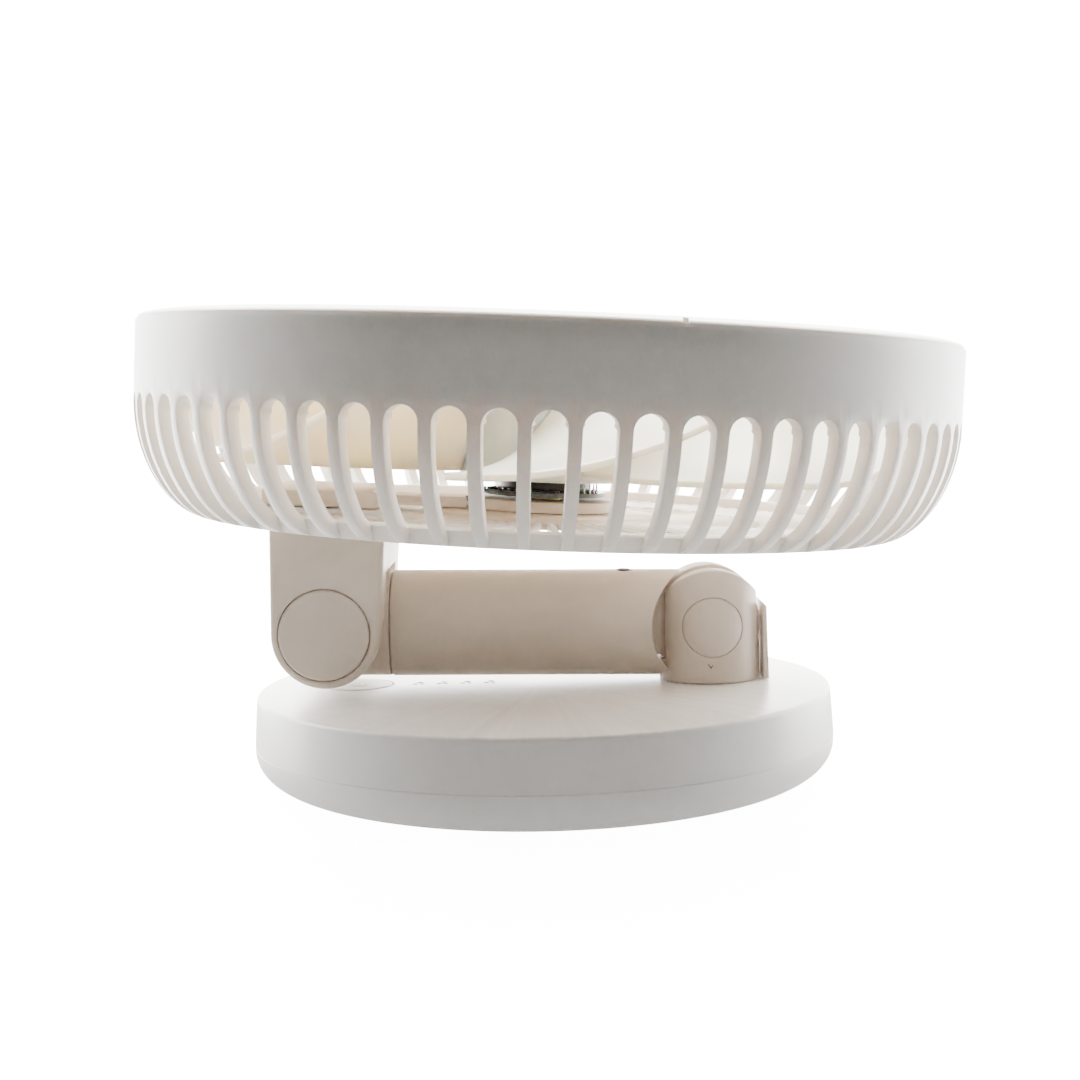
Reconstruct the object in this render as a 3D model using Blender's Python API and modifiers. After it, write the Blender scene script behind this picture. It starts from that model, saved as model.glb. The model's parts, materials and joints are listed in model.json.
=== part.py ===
"""Foldable desk fan: a round head lies folded over a round base, joined by a hinged arm.

Metres, +Z up. The base stands on Z = 0 with its centre at the origin. The arm runs along X
and every hinge axis runs along Y. The model is in its folded state.
"""

import math

import bmesh
import bpy
from mathutils import Vector

# ---------------------------------------------------------------- driving dimensions

GAP = 0.0003                    # clearance between touching pieces

BASE_RADIUS = 0.0743            # widest, at the parting seam
BASE_CREASE_RADIUS = 0.0735     # where the side meets the top
BASE_CREASE_HEIGHT = 0.0245
BASE_TOP = 0.0251               # raised flat middle of the top cover
BASE_FLAT_RADIUS = 0.062
BASE_SEAM = 0.0118
BASE_BOTTOM = 0.0006            # cover underside; the pad below it touches the table
BASE_ROUND_WIDTH = 0.019
BASE_ROUND_POWER = 2.4
BASE_WALL = 0.0021
BASE_FLOOR = 0.0043
PAD_RADIUS = 0.050
PAD_THICKNESS = 0.0020

HINGE_X, HINGE_Z = 0.0431, 0.0396      # pedestal hinge axis
NECK_X, NECK_Z = -0.0535, 0.0415       # head hinge axis
ARM_SPAN = math.hypot(HINGE_X - NECK_X, NECK_Z - HINGE_Z)
ARM_SLOPE = math.atan2(NECK_Z - HINGE_Z, HINGE_X - NECK_X)

ARM_RADIUS = 0.01365
ARM_BORE = 0.0119
ARM_TUBE_START = -0.0815        # left end of the tube, from the pedestal hinge
PLUG_RADIUS = 0.0116            # knuckle plugs inside the tube

COLUMN_X = 0.0432
COLUMN_RADIUS = 0.0129
COLUMN_FOOT = BASE_TOP + GAP
DOME_RADIUS = 0.0144            # top of the pedestal's two ears
FORK_HALF = 0.0053              # half the gap between the ears
TONGUE_HALF = 0.0040
TONGUE_RADIUS = 0.0130
HUB_RADIUS = 0.0150             # the part of the tongue that stands out between the ears
TONGUE_NECK = 0.0080
PEDESTAL_CAP_RADIUS = 0.00745
REAR_COVER_FACE = 0.0579

BRACKET_HALF = 0.0250           # half depth of the neck bracket along Y
BRACKET_SLOT = 0.0142           # half the gap between its two ears
BRACKET_ROUND = 0.0133
BRACKET_TOP_RIGHT = 0.0153
NECK_CAP_RADIUS = 0.0112
KNUCKLE_HALF = 0.0129

HEAD_X, HEAD_Z = 0.00278, 0.0959       # head centre, level with the slot tops
HEAD_TILT = math.radians(3.52)         # right side low
HEAD_RADIUS = 0.1035
RIM_TOP = 0.0176
SLOT_COUNT = 64
SLOT_HALF_ANGLE = 0.0354
SLOT_BOTTOM = -0.0256
CAGE_BEND = -0.0020             # where the wall starts to curve in
CAGE_BOTTOM = -0.0295
CAGE_ROUND_WIDTH = 0.0175
CAGE_ROUND_POWER = 1.85
CAGE_WALL = 0.0032
FLOOR_RADIUS = 0.0832
FLOOR_RING = 0.0030             # width of the band round the floor
FLOOR_TOP = -0.0277
HUB_DISC_RADIUS = 0.0292
HUB_DISC_TOP = -0.0265
SPOKE_COUNT = 24
SPOKE_WIDTH = 0.0018

GRILLE_RIB = 0.0015
GRILLE_RINGS = ((0.025, 0.059, 18), (0.061, 0.0955, 32))   # inner radius, outer radius, slots
GRILLE_SWIRL = 0.9 / 0.0715     # radians of sweep per metre of radius

BLADE_COUNT = 7
BLADE_START = 0.10              # radians, the first blade's root from +X
BLADE_SWEEP = 0.30              # radians gained from root to tip
BLADE_TIP_RADIUS = 0.0925
ROTOR_HUB_RADIUS = 0.022
ROTOR_BOTTOM = -0.0184

BUTTON_X = -0.0478
INDICATOR_X = -0.0323
INDICATOR_PITCH = 0.00613
INDICATOR_RADIUS = 0.00125
BASE_SCREWS = ((0.0120, 0.0449), (0.0120, -0.0449), (-0.0403, 0.0232), (-0.0403, -0.0232))
PEDESTAL_SCREW_Y = 0.0086

SIDE_ON = (math.pi / 2, 0.0, 0.0)      # turns a piece built along Z to lie along Y
LENGTHWISE = (0.0, math.pi / 2, 0.0)   # turns a piece built along Z to lie along X

# ---------------------------------------------------------------- scene and materials

for old in list(bpy.data.objects):
    bpy.data.objects.remove(old, do_unlink=True)


def new_collection(name):
    group = bpy.data.collections.new(name)
    bpy.context.scene.collection.children.link(group)
    return group


FAN = new_collection("foldable_desk_fan")
CUTTERS = new_collection("cutters")


def finish(name, colour, roughness, metallic=0.0):
    material = bpy.data.materials.new(name)
    material.use_nodes = True
    shader = material.node_tree.nodes["Principled BSDF"]
    shader.inputs["Base Color"].default_value = (*colour, 1.0)
    shader.inputs["Roughness"].default_value = roughness
    shader.inputs["Metallic"].default_value = metallic
    return material


SHELL = finish("shell_plastic", (0.80, 0.77, 0.72), 0.42)
BEIGE = finish("inner_plastic", (0.66, 0.58, 0.48), 0.50)
BLADE = finish("blade_plastic", (0.84, 0.81, 0.76), 0.35)
BLACK = finish("black_plastic", (0.02, 0.02, 0.02), 0.45)
RUBBER = finish("grey_rubber", (0.16, 0.16, 0.16), 0.85)
BOARD = finish("circuit_board", (0.05, 0.07, 0.06), 0.45)
STEEL = finish("steel", (0.56, 0.56, 0.55), 0.32, 1.0)
BRASS = finish("brass", (0.72, 0.55, 0.28), 0.30, 1.0)
COPPER = finish("copper_wire", (0.72, 0.34, 0.18), 0.35, 1.0)
FERRITE = finish("ferrite", (0.06, 0.06, 0.07), 0.60)
CELL = finish("battery_wrap", (0.10, 0.32, 0.30), 0.35)
LENS = finish("indicator_lens", (0.28, 0.19, 0.12), 0.25)

# ---------------------------------------------------------------- modelling helpers


def frame(name, x, z, turn=0.0):
    """An empty that pieces are built around, turned about Y."""
    empty = bpy.data.objects.new(name, None)
    empty.location = (x, 0.0, z)
    empty.rotation_euler = (0.0, turn, 0.0)
    empty.empty_display_size = 0.02
    FAN.objects.link(empty)
    return empty


def add(name, mesh, material=None, parent=None, at=(0.0, 0.0, 0.0), turn=(0.0, 0.0, 0.0)):
    """Links a mesh as a piece, or as a cutter where it has no material."""
    piece = bpy.data.objects.new(name, mesh)
    piece.location = at
    piece.rotation_euler = turn
    piece.parent = parent
    if material is None:
        CUTTERS.objects.link(piece)
        piece.hide_render = True
        piece.display_type = "WIRE"
    else:
        mesh.materials.append(material)
        FAN.objects.link(piece)
    return piece


def turned(name, profile, material=None, steps=48, closed=False, **place):
    """A turned shape: profile is (radius, height) points, down the outer side."""
    mesh = bpy.data.meshes.new(name)
    edges = [(i, i + 1) for i in range(len(profile) - 1)]
    if closed:
        edges.append((len(profile) - 1, 0))
    mesh.from_pydata([(r, 0.0, z) for r, z in profile], edges, [])
    piece = add(name, mesh, material, **place)
    screw = piece.modifiers.new("turn", "SCREW")
    screw.steps = steps
    screw.render_steps = steps
    screw.use_merge_vertices = True
    screw.merge_threshold = 0.00001
    screw.use_smooth_shade = True
    return piece


def ring(name, inner, outer, low, high, material=None, steps=32, **place):
    """A flat washer or tube between two radii and two heights."""
    profile = [(inner, high), (outer, high), (outer, low), (inner, low)]
    return turned(name, profile, material, steps, closed=True, **place)


def rod(name, radius, low, high, material=None, sides=32, **place):
    """A plain cylinder from low to high along its own Z."""
    profile = [(0.0, high), (radius, high), (radius, low), (0.0, low)]
    return turned(name, profile, material, sides, **place)


def block(name, low, high, material=None, **place):
    """A box between two corners."""
    size = Vector(high) - Vector(low)
    middle = (Vector(high) + Vector(low)) / 2
    shape = bmesh.new()
    bmesh.ops.create_cube(shape, size=1.0)
    bmesh.ops.scale(shape, vec=size, verts=shape.verts)
    bmesh.ops.translate(shape, vec=middle, verts=shape.verts)
    mesh = bpy.data.meshes.new(name)
    shape.to_mesh(mesh)
    shape.free()
    return add(name, mesh, material, **place)


def plate(name, outlines, half, material=None, lift=0.0, **place):
    """Flat outlines in XY, filled and extruded by half a thickness each way about Z = lift."""
    curve = bpy.data.curves.new(name, "CURVE")
    curve.dimensions = "2D"
    curve.fill_mode = "BOTH"
    curve.extrude = half
    for outline in outlines:
        spline = curve.splines.new("POLY")
        spline.points.add(len(outline) - 1)
        for point, (x, y) in zip(spline.points, outline):
            point.co = (x, y, 0.0, 1.0)
        spline.use_cyclic_u = True
    drawn = bpy.data.objects.new(name + "_outline", curve)
    CUTTERS.objects.link(drawn)
    return meshed(drawn, name, material, lift, **place)


def meshed(drawn, name, material, lift=0.0, **place):
    """Turns a drawn curve into a closed mesh piece and removes the curve."""
    bpy.context.view_layer.update()
    evaluated = drawn.evaluated_get(bpy.context.evaluated_depsgraph_get())
    mesh = bpy.data.meshes.new_from_object(evaluated)
    mesh.name = name
    mesh.materials.clear()
    shape = bmesh.new()
    shape.from_mesh(mesh)
    bmesh.ops.remove_doubles(shape, verts=shape.verts, dist=0.000001)
    bmesh.ops.translate(shape, vec=(0.0, 0.0, lift), verts=shape.verts)
    bmesh.ops.recalc_face_normals(shape, faces=shape.faces)
    shape.to_mesh(mesh)
    shape.free()
    bpy.data.objects.remove(drawn, do_unlink=True)
    return add(name, mesh, material, **place)


def combine(piece, operation, tools):
    for tool in tools:
        change = piece.modifiers.new(tool.name, "BOOLEAN")
        change.operation = operation
        change.object = tool
        change.solver = "EXACT"
    return piece


def cut(piece, *tools):
    return combine(piece, "DIFFERENCE", tools)


def join(piece, *tools):
    return combine(piece, "UNION", tools)


def keep(piece, *tools):
    return combine(piece, "INTERSECT", tools)


def arc(centre, radius, start, end, steps):
    """Points on a circle between two angles in degrees."""
    points = []
    for i in range(steps + 1):
        angle = math.radians(start + (end - start) * i / steps)
        points.append((centre[0] + radius * math.cos(angle), centre[1] + radius * math.sin(angle)))
    return points


def bend(radius, top, width, depth, power, steps):
    """A wall's outer curve, from (radius, top) in by width and down by depth."""
    points = []
    for i in range(steps + 1):
        angle = math.pi / 2 * i / steps
        inward = width * (1 - math.cos(angle) ** (2 / power))
        down = depth * math.sin(angle) ** (2 / power)
        points.append((radius - inward, top - down))
    return points


def stepped_hole(name, steps, sides, **place):
    """A cutter along Z, alike at both ends: each step is (radius, half length), narrowest first."""
    profile = []
    inner = 0.0
    for radius, reach in steps:
        profile = [(radius, reach)] + profile + [(radius, -reach)]
        if inner:
            profile[1:1] = [(radius, inner)]
            profile[-1:-1] = [(radius, -inner)]
        inner = reach
    return turned(name, [(0.0, inner)] + profile + [(0.0, -inner)], steps=sides, **place)


def screw_piece(name, head_radius, head_high, head_low, tip, shank=0.0012, **place):
    """A screw along its own Z with its head below its shank."""
    profile = [(0.0, tip), (shank, tip - 0.0008), (shank, head_high), (head_radius, head_high),
               (head_radius, head_low), (0.0, head_low)]
    return turned(name, profile, STEEL, 12, **place)


# ---------------------------------------------------------------- base


def base_covers():
    """The two round shells, split at the seam."""
    curve = bend(BASE_RADIUS, BASE_SEAM - GAP / 2, BASE_ROUND_WIDTH,
                 BASE_SEAM - GAP / 2 - BASE_BOTTOM, BASE_ROUND_POWER, 5)
    inner = bend(BASE_RADIUS - BASE_WALL, BASE_SEAM - GAP / 2, BASE_ROUND_WIDTH,
                 BASE_SEAM - GAP / 2 - BASE_FLOOR, BASE_ROUND_POWER, 3)
    recess = PAD_THICKNESS + GAP
    bottom = turned("base_bottom_cover",
                    [(0.0, BASE_FLOOR)] + inner[::-1] + curve
                    + [(PAD_RADIUS + GAP, BASE_BOTTOM), (PAD_RADIUS + GAP, recess), (0.0, recess)],
                    SHELL, 40)
    ceiling = BASE_TOP - BASE_WALL
    seam = BASE_SEAM + GAP / 2
    edge = arc((BASE_CREASE_RADIUS - 0.0012, BASE_CREASE_HEIGHT - 0.0012), 0.0012, 90, 0, 2)
    wall = BASE_RADIUS - BASE_WALL
    top = turned("base_top_cover",
                 [(0.0, BASE_TOP), (BASE_FLAT_RADIUS, BASE_TOP)] + edge
                 + [(BASE_RADIUS, seam), (wall, seam), (wall - 0.0006, ceiling - 0.0020),
                    (wall - 0.0030, ceiling), (0.0, ceiling)],
                 SHELL, 40)

    for number, (x, y) in enumerate(BASE_SCREWS, 1):
        boss = rod(f"boss_{number}", 0.0032, BASE_FLOOR + GAP, ceiling + 0.001, sides=16, at=(x, y, 0))
        bore = rod(f"boss_bore_{number}", 0.0015, 0.003, 0.0175, sides=12, at=(x, y, 0))
        join(top, boss)
        cut(top, bore)
        way = turned(f"screw_way_{number}",
                     [(0.0, 0.006), (0.0016, 0.006), (0.0016, 0.0035), (0.0030, 0.0035),
                      (0.0030, 0.0), (0.0, 0.0)], steps=12, at=(x, y, 0))
        cut(bottom, way)
        screw_piece(f"base_screw_{number}", 0.0026, 0.0032, 0.0025, 0.0165, at=(x, y, 0))

    cut(top, rod("button_hole", 0.0090, 0.020, 0.030, at=(BUTTON_X, 0, 0)))
    for number in range(4):
        place = (INDICATOR_X + number * INDICATOR_PITCH, 0, 0)
        cut(top, rod(f"window_hole_{number + 1}", INDICATOR_RADIUS + GAP, 0.020, 0.030, sides=16, at=place))
    for side, name in ((-1, "front"), (1, "back")):
        place = (COLUMN_X, side * PEDESTAL_SCREW_Y, 0)
        cut(top, rod(f"pedestal_screw_hole_{name}", 0.0015, 0.020, 0.030, sides=12, at=place))
    cut(bottom, block("charging_window", (0.060, -0.0049, 0.0069), (0.080, 0.0049, 0.0108)))


def base_inside():
    """Foot pad, ballast, cells, boards, socket and switch."""
    rod("foot_pad", PAD_RADIUS, 0.0, PAD_THICKNESS, RUBBER, 64)
    ring("counterweight_ring", 0.0505, 0.0615, BASE_FLOOR + 0.0010, 0.0088, STEEL, 48)
    for number, x in enumerate((0.0032, 0.0216), 1):
        rod(f"battery_cell_{number}", 0.00895, -0.0325, 0.0325, CELL, 24, at=(x, 0, 0.01365), turn=SIDE_ON)
    block("control_board", (-0.062, -0.016, 0.0150), (-0.008, 0.016, 0.0162), BOARD)
    block("button_switch", (BUTTON_X - 0.003, -0.003, 0.0165), (BUTTON_X + 0.003, 0.003, 0.0174), BLACK)
    block("charging_board", (0.0620, -0.0075, 0.0107), (0.0695, 0.0075, 0.0115), BOARD)
    socket = block("charging_socket", (0.0645, -0.0045, 0.0073), (0.0728, 0.0045, 0.0104), STEEL)
    cut(socket, block("socket_mouth", (0.0665, -0.0041, 0.0077), (0.0800, 0.0041, 0.0100)))
    for number in range(4):
        rod(f"indicator_window_{number + 1}", INDICATOR_RADIUS, 0.0224, BASE_TOP, LENS, 16,
            at=(INDICATOR_X + number * INDICATOR_PITCH, 0, 0))


def power_button():
    """A round key with a flange under the cover; its origin is on its line of travel."""
    turned("power_button",
           [(0.0, 0.0252), (0.0082, 0.0252), (0.0087, 0.0248), (0.0087, 0.0226), (0.0102, 0.0226),
            (0.0102, 0.0214), (0.0022, 0.0214), (0.0022, 0.0185), (0.0, 0.0185)],
           SHELL, 32, at=(BUTTON_X, 0, 0))


# ---------------------------------------------------------------- pedestal


def pedestal():
    """A round column with a forked, domed top that holds the arm's tongue."""
    place = {"at": (HINGE_X, 0, HINGE_Z), "turn": SIDE_ON}
    column = rod("pedestal_column", COLUMN_RADIUS, 0.0200, HINGE_Z + 0.0155, SHELL, 40,
                 at=(COLUMN_X, 0, 0))
    dome = [(DOME_RADIUS + HINGE_X, 0.018)] + arc((HINGE_X, HINGE_Z), DOME_RADIUS, 0, 180, 16)
    dome += [(HINGE_X - DOME_RADIUS, 0.018)]
    keep(column, plate("dome_side", [dome], 0.016, turn=SIDE_ON))
    cut(column, block("column_foot_cut", (0.010, -0.03, 0.010), (0.080, 0.03, COLUMN_FOOT)))

    fork = arc((0, 0), TONGUE_RADIUS + 0.0004, 0, -139, 16)
    fork += [(-0.021, -0.0088), (-0.021, 0.020), (0.016, 0.020), (0.016, 0.0)]
    cut(column,
        plate("fork_way", [fork], FORK_HALF, **place),
        stepped_hole("pin_way", [(0.0033, 0.0072), (PEDESTAL_CAP_RADIUS + GAP, 0.02)], 32, **place),
        block("rear_seat", (0.0561, -0.0076, 0.020), (0.070, 0.0076, 0.0453)))
    for side, name in ((-1, "front"), (1, "back")):
        spot = (COLUMN_X, side * PEDESTAL_SCREW_Y, 0)
        cut(column, rod(f"column_screw_bore_{name}", 0.0015, 0.024, 0.0308, sides=12, at=spot))
        screw_piece(f"pedestal_screw_{name}", 0.0026, 0.0226, 0.0208, 0.0303, at=spot)
        inner, outer = sorted((side * 0.0043, side * 0.0050))
        ring(f"pedestal_washer_{name}", 0.0034, 0.0075, inner, outer, STEEL, 24,
             at=(HINGE_X, 0, HINGE_Z), turn=(-SIDE_ON[0], 0, 0))
        cap = rod(f"pedestal_cap_{name}", PEDESTAL_CAP_RADIUS, 0.0093, 0.0140, SHELL, 28,
                  at=(HINGE_X, 0, HINGE_Z), turn=(-side * SIDE_ON[0], 0, 0))
        keep(cap, rod(f"cap_face_{name}", COLUMN_RADIUS, 0.020, 0.060, sides=40, at=(COLUMN_X, 0, 0)))

    turned("pedestal_hinge_pin",
           [(0.0, 0.0090), (0.0055, 0.0090), (0.0055, 0.0075), (0.0030, 0.0075),
            (0.0030, -0.0089), (0.0, -0.0089)], STEEL, 24, **place)
    ring("pedestal_hinge_nut", 0.0037, 0.0059, -0.0090, -0.0075, STEEL, 6, **place)

    slope = [(0.0564, COLUMN_FOOT), (0.0582, COLUMN_FOOT), (REAR_COVER_FACE, 0.0440),
             (REAR_COVER_FACE - 0.0008, 0.0450), (0.0564, 0.0450)]
    plate("pedestal_rear_cover", [slope], 0.0070, SHELL, turn=SIDE_ON)


# ---------------------------------------------------------------- arm


def arm_pieces(arm):
    """A round tube with a hinge piece plugged into each end, built around the pedestal hinge."""
    tube = ring("arm_tube", ARM_BORE, ARM_RADIUS, ARM_TUBE_START, -0.004, SHELL, 48,
                parent=arm, turn=LENGTHWISE)
    cut(tube,
        rod("tube_scoop", HUB_RADIUS + 0.0005, -0.02, 0.02, sides=64, parent=arm, turn=SIDE_ON),
        rod("tube_column_way", COLUMN_RADIUS + 0.0005, 0.0, HINGE_Z, sides=48, at=(COLUMN_X, 0, 0)),
        rod("plug_hole", 0.0026, 0.008, 0.020, sides=20, parent=arm, at=(-0.0220, 0, 0)))
    turned("arm_screw_plug",
           [(0.0, 0.01395), (0.0016, 0.0138), (0.0023, 0.0134), (0.0023, 0.0120), (0.0, 0.0120)],
           BLACK, 20, parent=arm, at=(-0.0220, 0, 0))

    tongue = rod("arm_hinge_tongue", TONGUE_RADIUS, -TONGUE_HALF, TONGUE_HALF, SHELL, 48,
                 parent=arm, turn=SIDE_ON)
    stand_out = [(0.0, 0.0)] + arc((0.0, 0.0), HUB_RADIUS, 90, 213, 16)
    join(tongue,
         plate("tongue_stand_out", [stand_out], TONGUE_HALF - 0.0002, parent=arm, turn=SIDE_ON),
         block("tongue_neck", (-0.030, -TONGUE_HALF + 0.0001, -TONGUE_NECK),
               (-0.002, TONGUE_HALF - 0.0001, TONGUE_NECK), parent=arm),
         rod("tongue_plug", PLUG_RADIUS, -0.044, -0.0175, sides=28, parent=arm, turn=LENGTHWISE))
    cut(tongue, rod("tongue_bore", 0.0033, -0.02, 0.02, sides=16, parent=arm, turn=SIDE_ON))

    shoulder = ARM_TUBE_START - GAP
    knuckle = rod("arm_head_knuckle", ARM_RADIUS - 0.00005, -ARM_SPAN - 0.020, shoulder, SHELL, 36,
                  parent=arm, turn=LENGTHWISE)
    side = [(0.0, -0.0140)] + [(ARM_SPAN + ARM_TUBE_START + 0.004, -0.0140)]
    side += [(ARM_SPAN + ARM_TUBE_START + 0.004, 0.0140)] + arc((0.0, 0.0), 0.0134, 90, 270, 16)
    keep(knuckle, plate("knuckle_side", [side], 0.020, parent=arm, at=(-ARM_SPAN, 0, 0), turn=SIDE_ON))
    join(knuckle,
         rod("knuckle_barrel", 0.0126, -KNUCKLE_HALF - 0.0006, KNUCKLE_HALF + 0.0006, sides=36, parent=arm,
             at=(-ARM_SPAN, 0, 0), turn=SIDE_ON),
         rod("knuckle_plug", PLUG_RADIUS, shoulder - 0.002, -0.062, sides=28, parent=arm, turn=LENGTHWISE))
    plan = [(-0.020, -KNUCKLE_HALF), (0.0098, -KNUCKLE_HALF), (0.0098, -0.016), (0.040, -0.016),
            (0.040, 0.016), (0.0098, 0.016), (0.0098, KNUCKLE_HALF), (-0.020, KNUCKLE_HALF)]
    keep(knuckle, plate("knuckle_plan", [plan], 0.018, parent=arm, at=(-ARM_SPAN, 0, 0)))
    cut(knuckle,
        rod("knuckle_bore", 0.0038, -0.02, 0.02, sides=16, parent=arm, at=(-ARM_SPAN, 0, 0), turn=SIDE_ON))


# ---------------------------------------------------------------- neck


def neck_pieces(neck):
    """The forked bracket under the head, with its pin, washers and round caps."""
    head_turn = HEAD_TILT - ARM_SLOPE
    under_x = (NECK_X - HEAD_X) * math.cos(HEAD_TILT) - (NECK_Z - HEAD_Z) * math.sin(HEAD_TILT)
    under_z = (NECK_X - HEAD_X) * math.sin(HEAD_TILT) + (NECK_Z - HEAD_Z) * math.cos(HEAD_TILT)
    rise = CAGE_BOTTOM - GAP - under_z

    def top_at(x):
        return (rise - x * math.sin(head_turn)) / math.cos(head_turn)

    left = -0.0131
    outline = arc((0.0002, 0.0), BRACKET_ROUND, 180, 360, 16)
    outline += [(0.0140, 0.0040), (BRACKET_TOP_RIGHT, top_at(BRACKET_TOP_RIGHT)), (left, top_at(left))]
    bracket = plate("neck_bracket", [outline], BRACKET_HALF, SHELL, parent=neck, turn=SIDE_ON)
    rounding = bracket.modifiers.new("soft_edges", "BEVEL")
    rounding.width = 0.0008
    rounding.segments = 1
    rounding.limit_method = "ANGLE"
    rounding.angle_limit = math.radians(60)
    lie = {"parent": neck, "turn": SIDE_ON}
    cut(bracket,
        block("bracket_slot", (-0.040, -BRACKET_SLOT, -0.020), (0.040, BRACKET_SLOT, 0.0146), parent=neck),
        block("bracket_hollow", (left + 0.0025, -0.0200, 0.0180), (0.0120, 0.0200, 0.0400), parent=neck),
        stepped_hole("neck_pin_way", [(0.0038, 0.0194), (0.0070, 0.0222), (NECK_CAP_RADIUS + GAP, 0.03)],
                     40, **lie))

    for side, name in ((-1, "front"), (1, "back")):
        turned(f"neck_cap_{name}",
               [(0.0, 0.0255), (NECK_CAP_RADIUS - 0.0006, 0.0255), (NECK_CAP_RADIUS, 0.0249),
                (NECK_CAP_RADIUS, 0.0225), (0.0, 0.0225)],
               SHELL, 48, parent=neck, turn=(-side * SIDE_ON[0], 0, 0))
        low, high = sorted((side * 0.0133, side * 0.0138))
        ring(f"neck_washer_{name}", 0.0041, 0.0090, low, high, STEEL, 24, parent=neck,
             turn=(-SIDE_ON[0], 0, 0))
    turned("neck_hinge_pin",
           [(0.0, 0.0216), (0.0065, 0.0216), (0.0065, 0.0197), (0.0035, 0.0197),
            (0.0035, -0.0215), (0.0, -0.0215)], STEEL, 24, **lie)
    ring("neck_hinge_nut", 0.0043, 0.0069, -0.0216, -0.0197, STEEL, 6, **lie)


# ---------------------------------------------------------------- head shells


def cage_slots():
    """One solid for all the wall slots: each narrows inwards."""
    shape = bmesh.new()
    for number in range(SLOT_COUNT):
        middle = 2 * math.pi * number / SLOT_COUNT
        rings = []
        for radius in (0.080, 0.108):
            half = radius * SLOT_HALF_ANGLE
            outline = [(half, SLOT_BOTTOM), (-half, SLOT_BOTTOM), (-half, -0.0006), (half, -0.0006)]
            corners = []
            for across, height in outline:
                x = radius * math.cos(middle) - across * math.sin(middle)
                y = radius * math.sin(middle) + across * math.cos(middle)
                corners.append(shape.verts.new((x, y, height)))
            rings.append(corners)
        inner, outer = rings
        count = len(inner)
        shape.faces.new(inner)
        shape.faces.new(outer[::-1])
        for i in range(count):
            j = (i + 1) % count
            shape.faces.new((inner[j], inner[i], outer[i], outer[j]))
    bmesh.ops.recalc_face_normals(shape, faces=shape.faces)
    mesh = bpy.data.meshes.new("cage_slots")
    shape.to_mesh(mesh)
    shape.free()
    return mesh


def wedge(inner, outer, middle, pitch, rib, sweep=0.0, steps=1):
    """The outline between two ribs, from one radius to another, swept round as it goes out."""
    near, far = [], []
    for i in range(steps + 1):
        radius = inner + (outer - inner) * i / steps
        turn = middle + sweep * (radius - inner)
        half = pitch / 2 - rib / 2 / radius
        near.append((radius * math.cos(turn - half), radius * math.sin(turn - half)))
        far.append((radius * math.cos(turn + half), radius * math.sin(turn + half)))
    return near + far[::-1]


def cage_rim(head):
    """The upright wall of the cage, with its slots and its curved foot."""
    outer = bend(HEAD_RADIUS, CAGE_BEND, CAGE_ROUND_WIDTH, CAGE_BEND - CAGE_BOTTOM, CAGE_ROUND_POWER, 3)
    inner = bend(HEAD_RADIUS - CAGE_WALL, CAGE_BEND, CAGE_ROUND_WIDTH - 0.0008,
                 CAGE_BEND - SLOT_BOTTOM, CAGE_ROUND_POWER, 2)
    profile = [(inner[-1][0], CAGE_BOTTOM)] + inner[::-1]
    profile += [(HEAD_RADIUS - 0.0025, 0.0030), (HEAD_RADIUS - 0.0025, RIM_TOP),
                (HEAD_RADIUS - GAP, RIM_TOP), (HEAD_RADIUS, RIM_TOP - GAP)]
    rim = turned("cage_rim", profile + outer, SHELL, SLOT_COUNT, closed=True, parent=head,
                 turn=(0.0, 0.0, math.pi / SLOT_COUNT))
    cut(rim, add("cage_slots", cage_slots(), parent=head))


def cage_base(head):
    """The floor inside the rim: spokes, the hub disc and the plate over the neck."""
    pitch = 2 * math.pi / SPOKE_COUNT
    edge = 180 / SLOT_COUNT
    floor = [arc((0.0, 0.0), FLOOR_RADIUS, edge, 360 - edge, SLOT_COUNT - 1)]
    floor += [wedge(HUB_DISC_RADIUS + 0.0014, FLOOR_RADIUS - FLOOR_RING, pitch * (i + 0.5), pitch,
                    SPOKE_WIDTH) for i in range(SPOKE_COUNT)]
    middle = (CAGE_BOTTOM + FLOOR_TOP) / 2
    half = (FLOOR_TOP - CAGE_BOTTOM) / 2 - 0.0001
    base = plate("cage_base", floor, half, SHELL, lift=middle, parent=head)
    join(base,
         rod("hub_disc_plate", HUB_DISC_RADIUS, CAGE_BOTTOM, HUB_DISC_TOP, sides=32, parent=head),
         block("neck_plate", (-0.0700, -0.0256, -0.02945), (-0.0385, 0.0256, HUB_DISC_TOP - 0.0001),
               parent=head))


def front_grille(head):
    """A shallow dish of swept ribs that closes the front, and its middle cap."""
    lip = HEAD_RADIUS - GAP
    grille = turned("front_grille",
                    [(0.0968, 0.0199), (lip - 0.0008, 0.0192), (lip, 0.0186), (lip, RIM_TOP + GAP),
                     (0.1006, RIM_TOP + GAP), (0.1006, 0.0150), (0.0989, 0.0150), (0.0968, 0.0176)],
                    SHELL, 48, closed=True, parent=head)
    face = [arc((0.0, 0.0), 0.0982, 0, 348.75, 31)]
    for inner, outer, count in GRILLE_RINGS:
        pitch = 2 * math.pi / count
        start = GRILLE_SWIRL * (inner - GRILLE_RINGS[0][0])
        face += [wedge(inner, outer, start + pitch * (i + 0.5), pitch, GRILLE_RIB, GRILLE_SWIRL, 1)
                 for i in range(count)]
    join(grille, plate("grille_face", face, 0.0010, lift=0.0187, parent=head))
    turned("grille_cap",
           [(0.0, 0.0214), (0.017, 0.0213), (0.0215, 0.0208), (0.0223, 0.0200), (0.0, 0.0200)],
           SHELL, 48, parent=head)


# ---------------------------------------------------------------- motor and rotor


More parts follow.
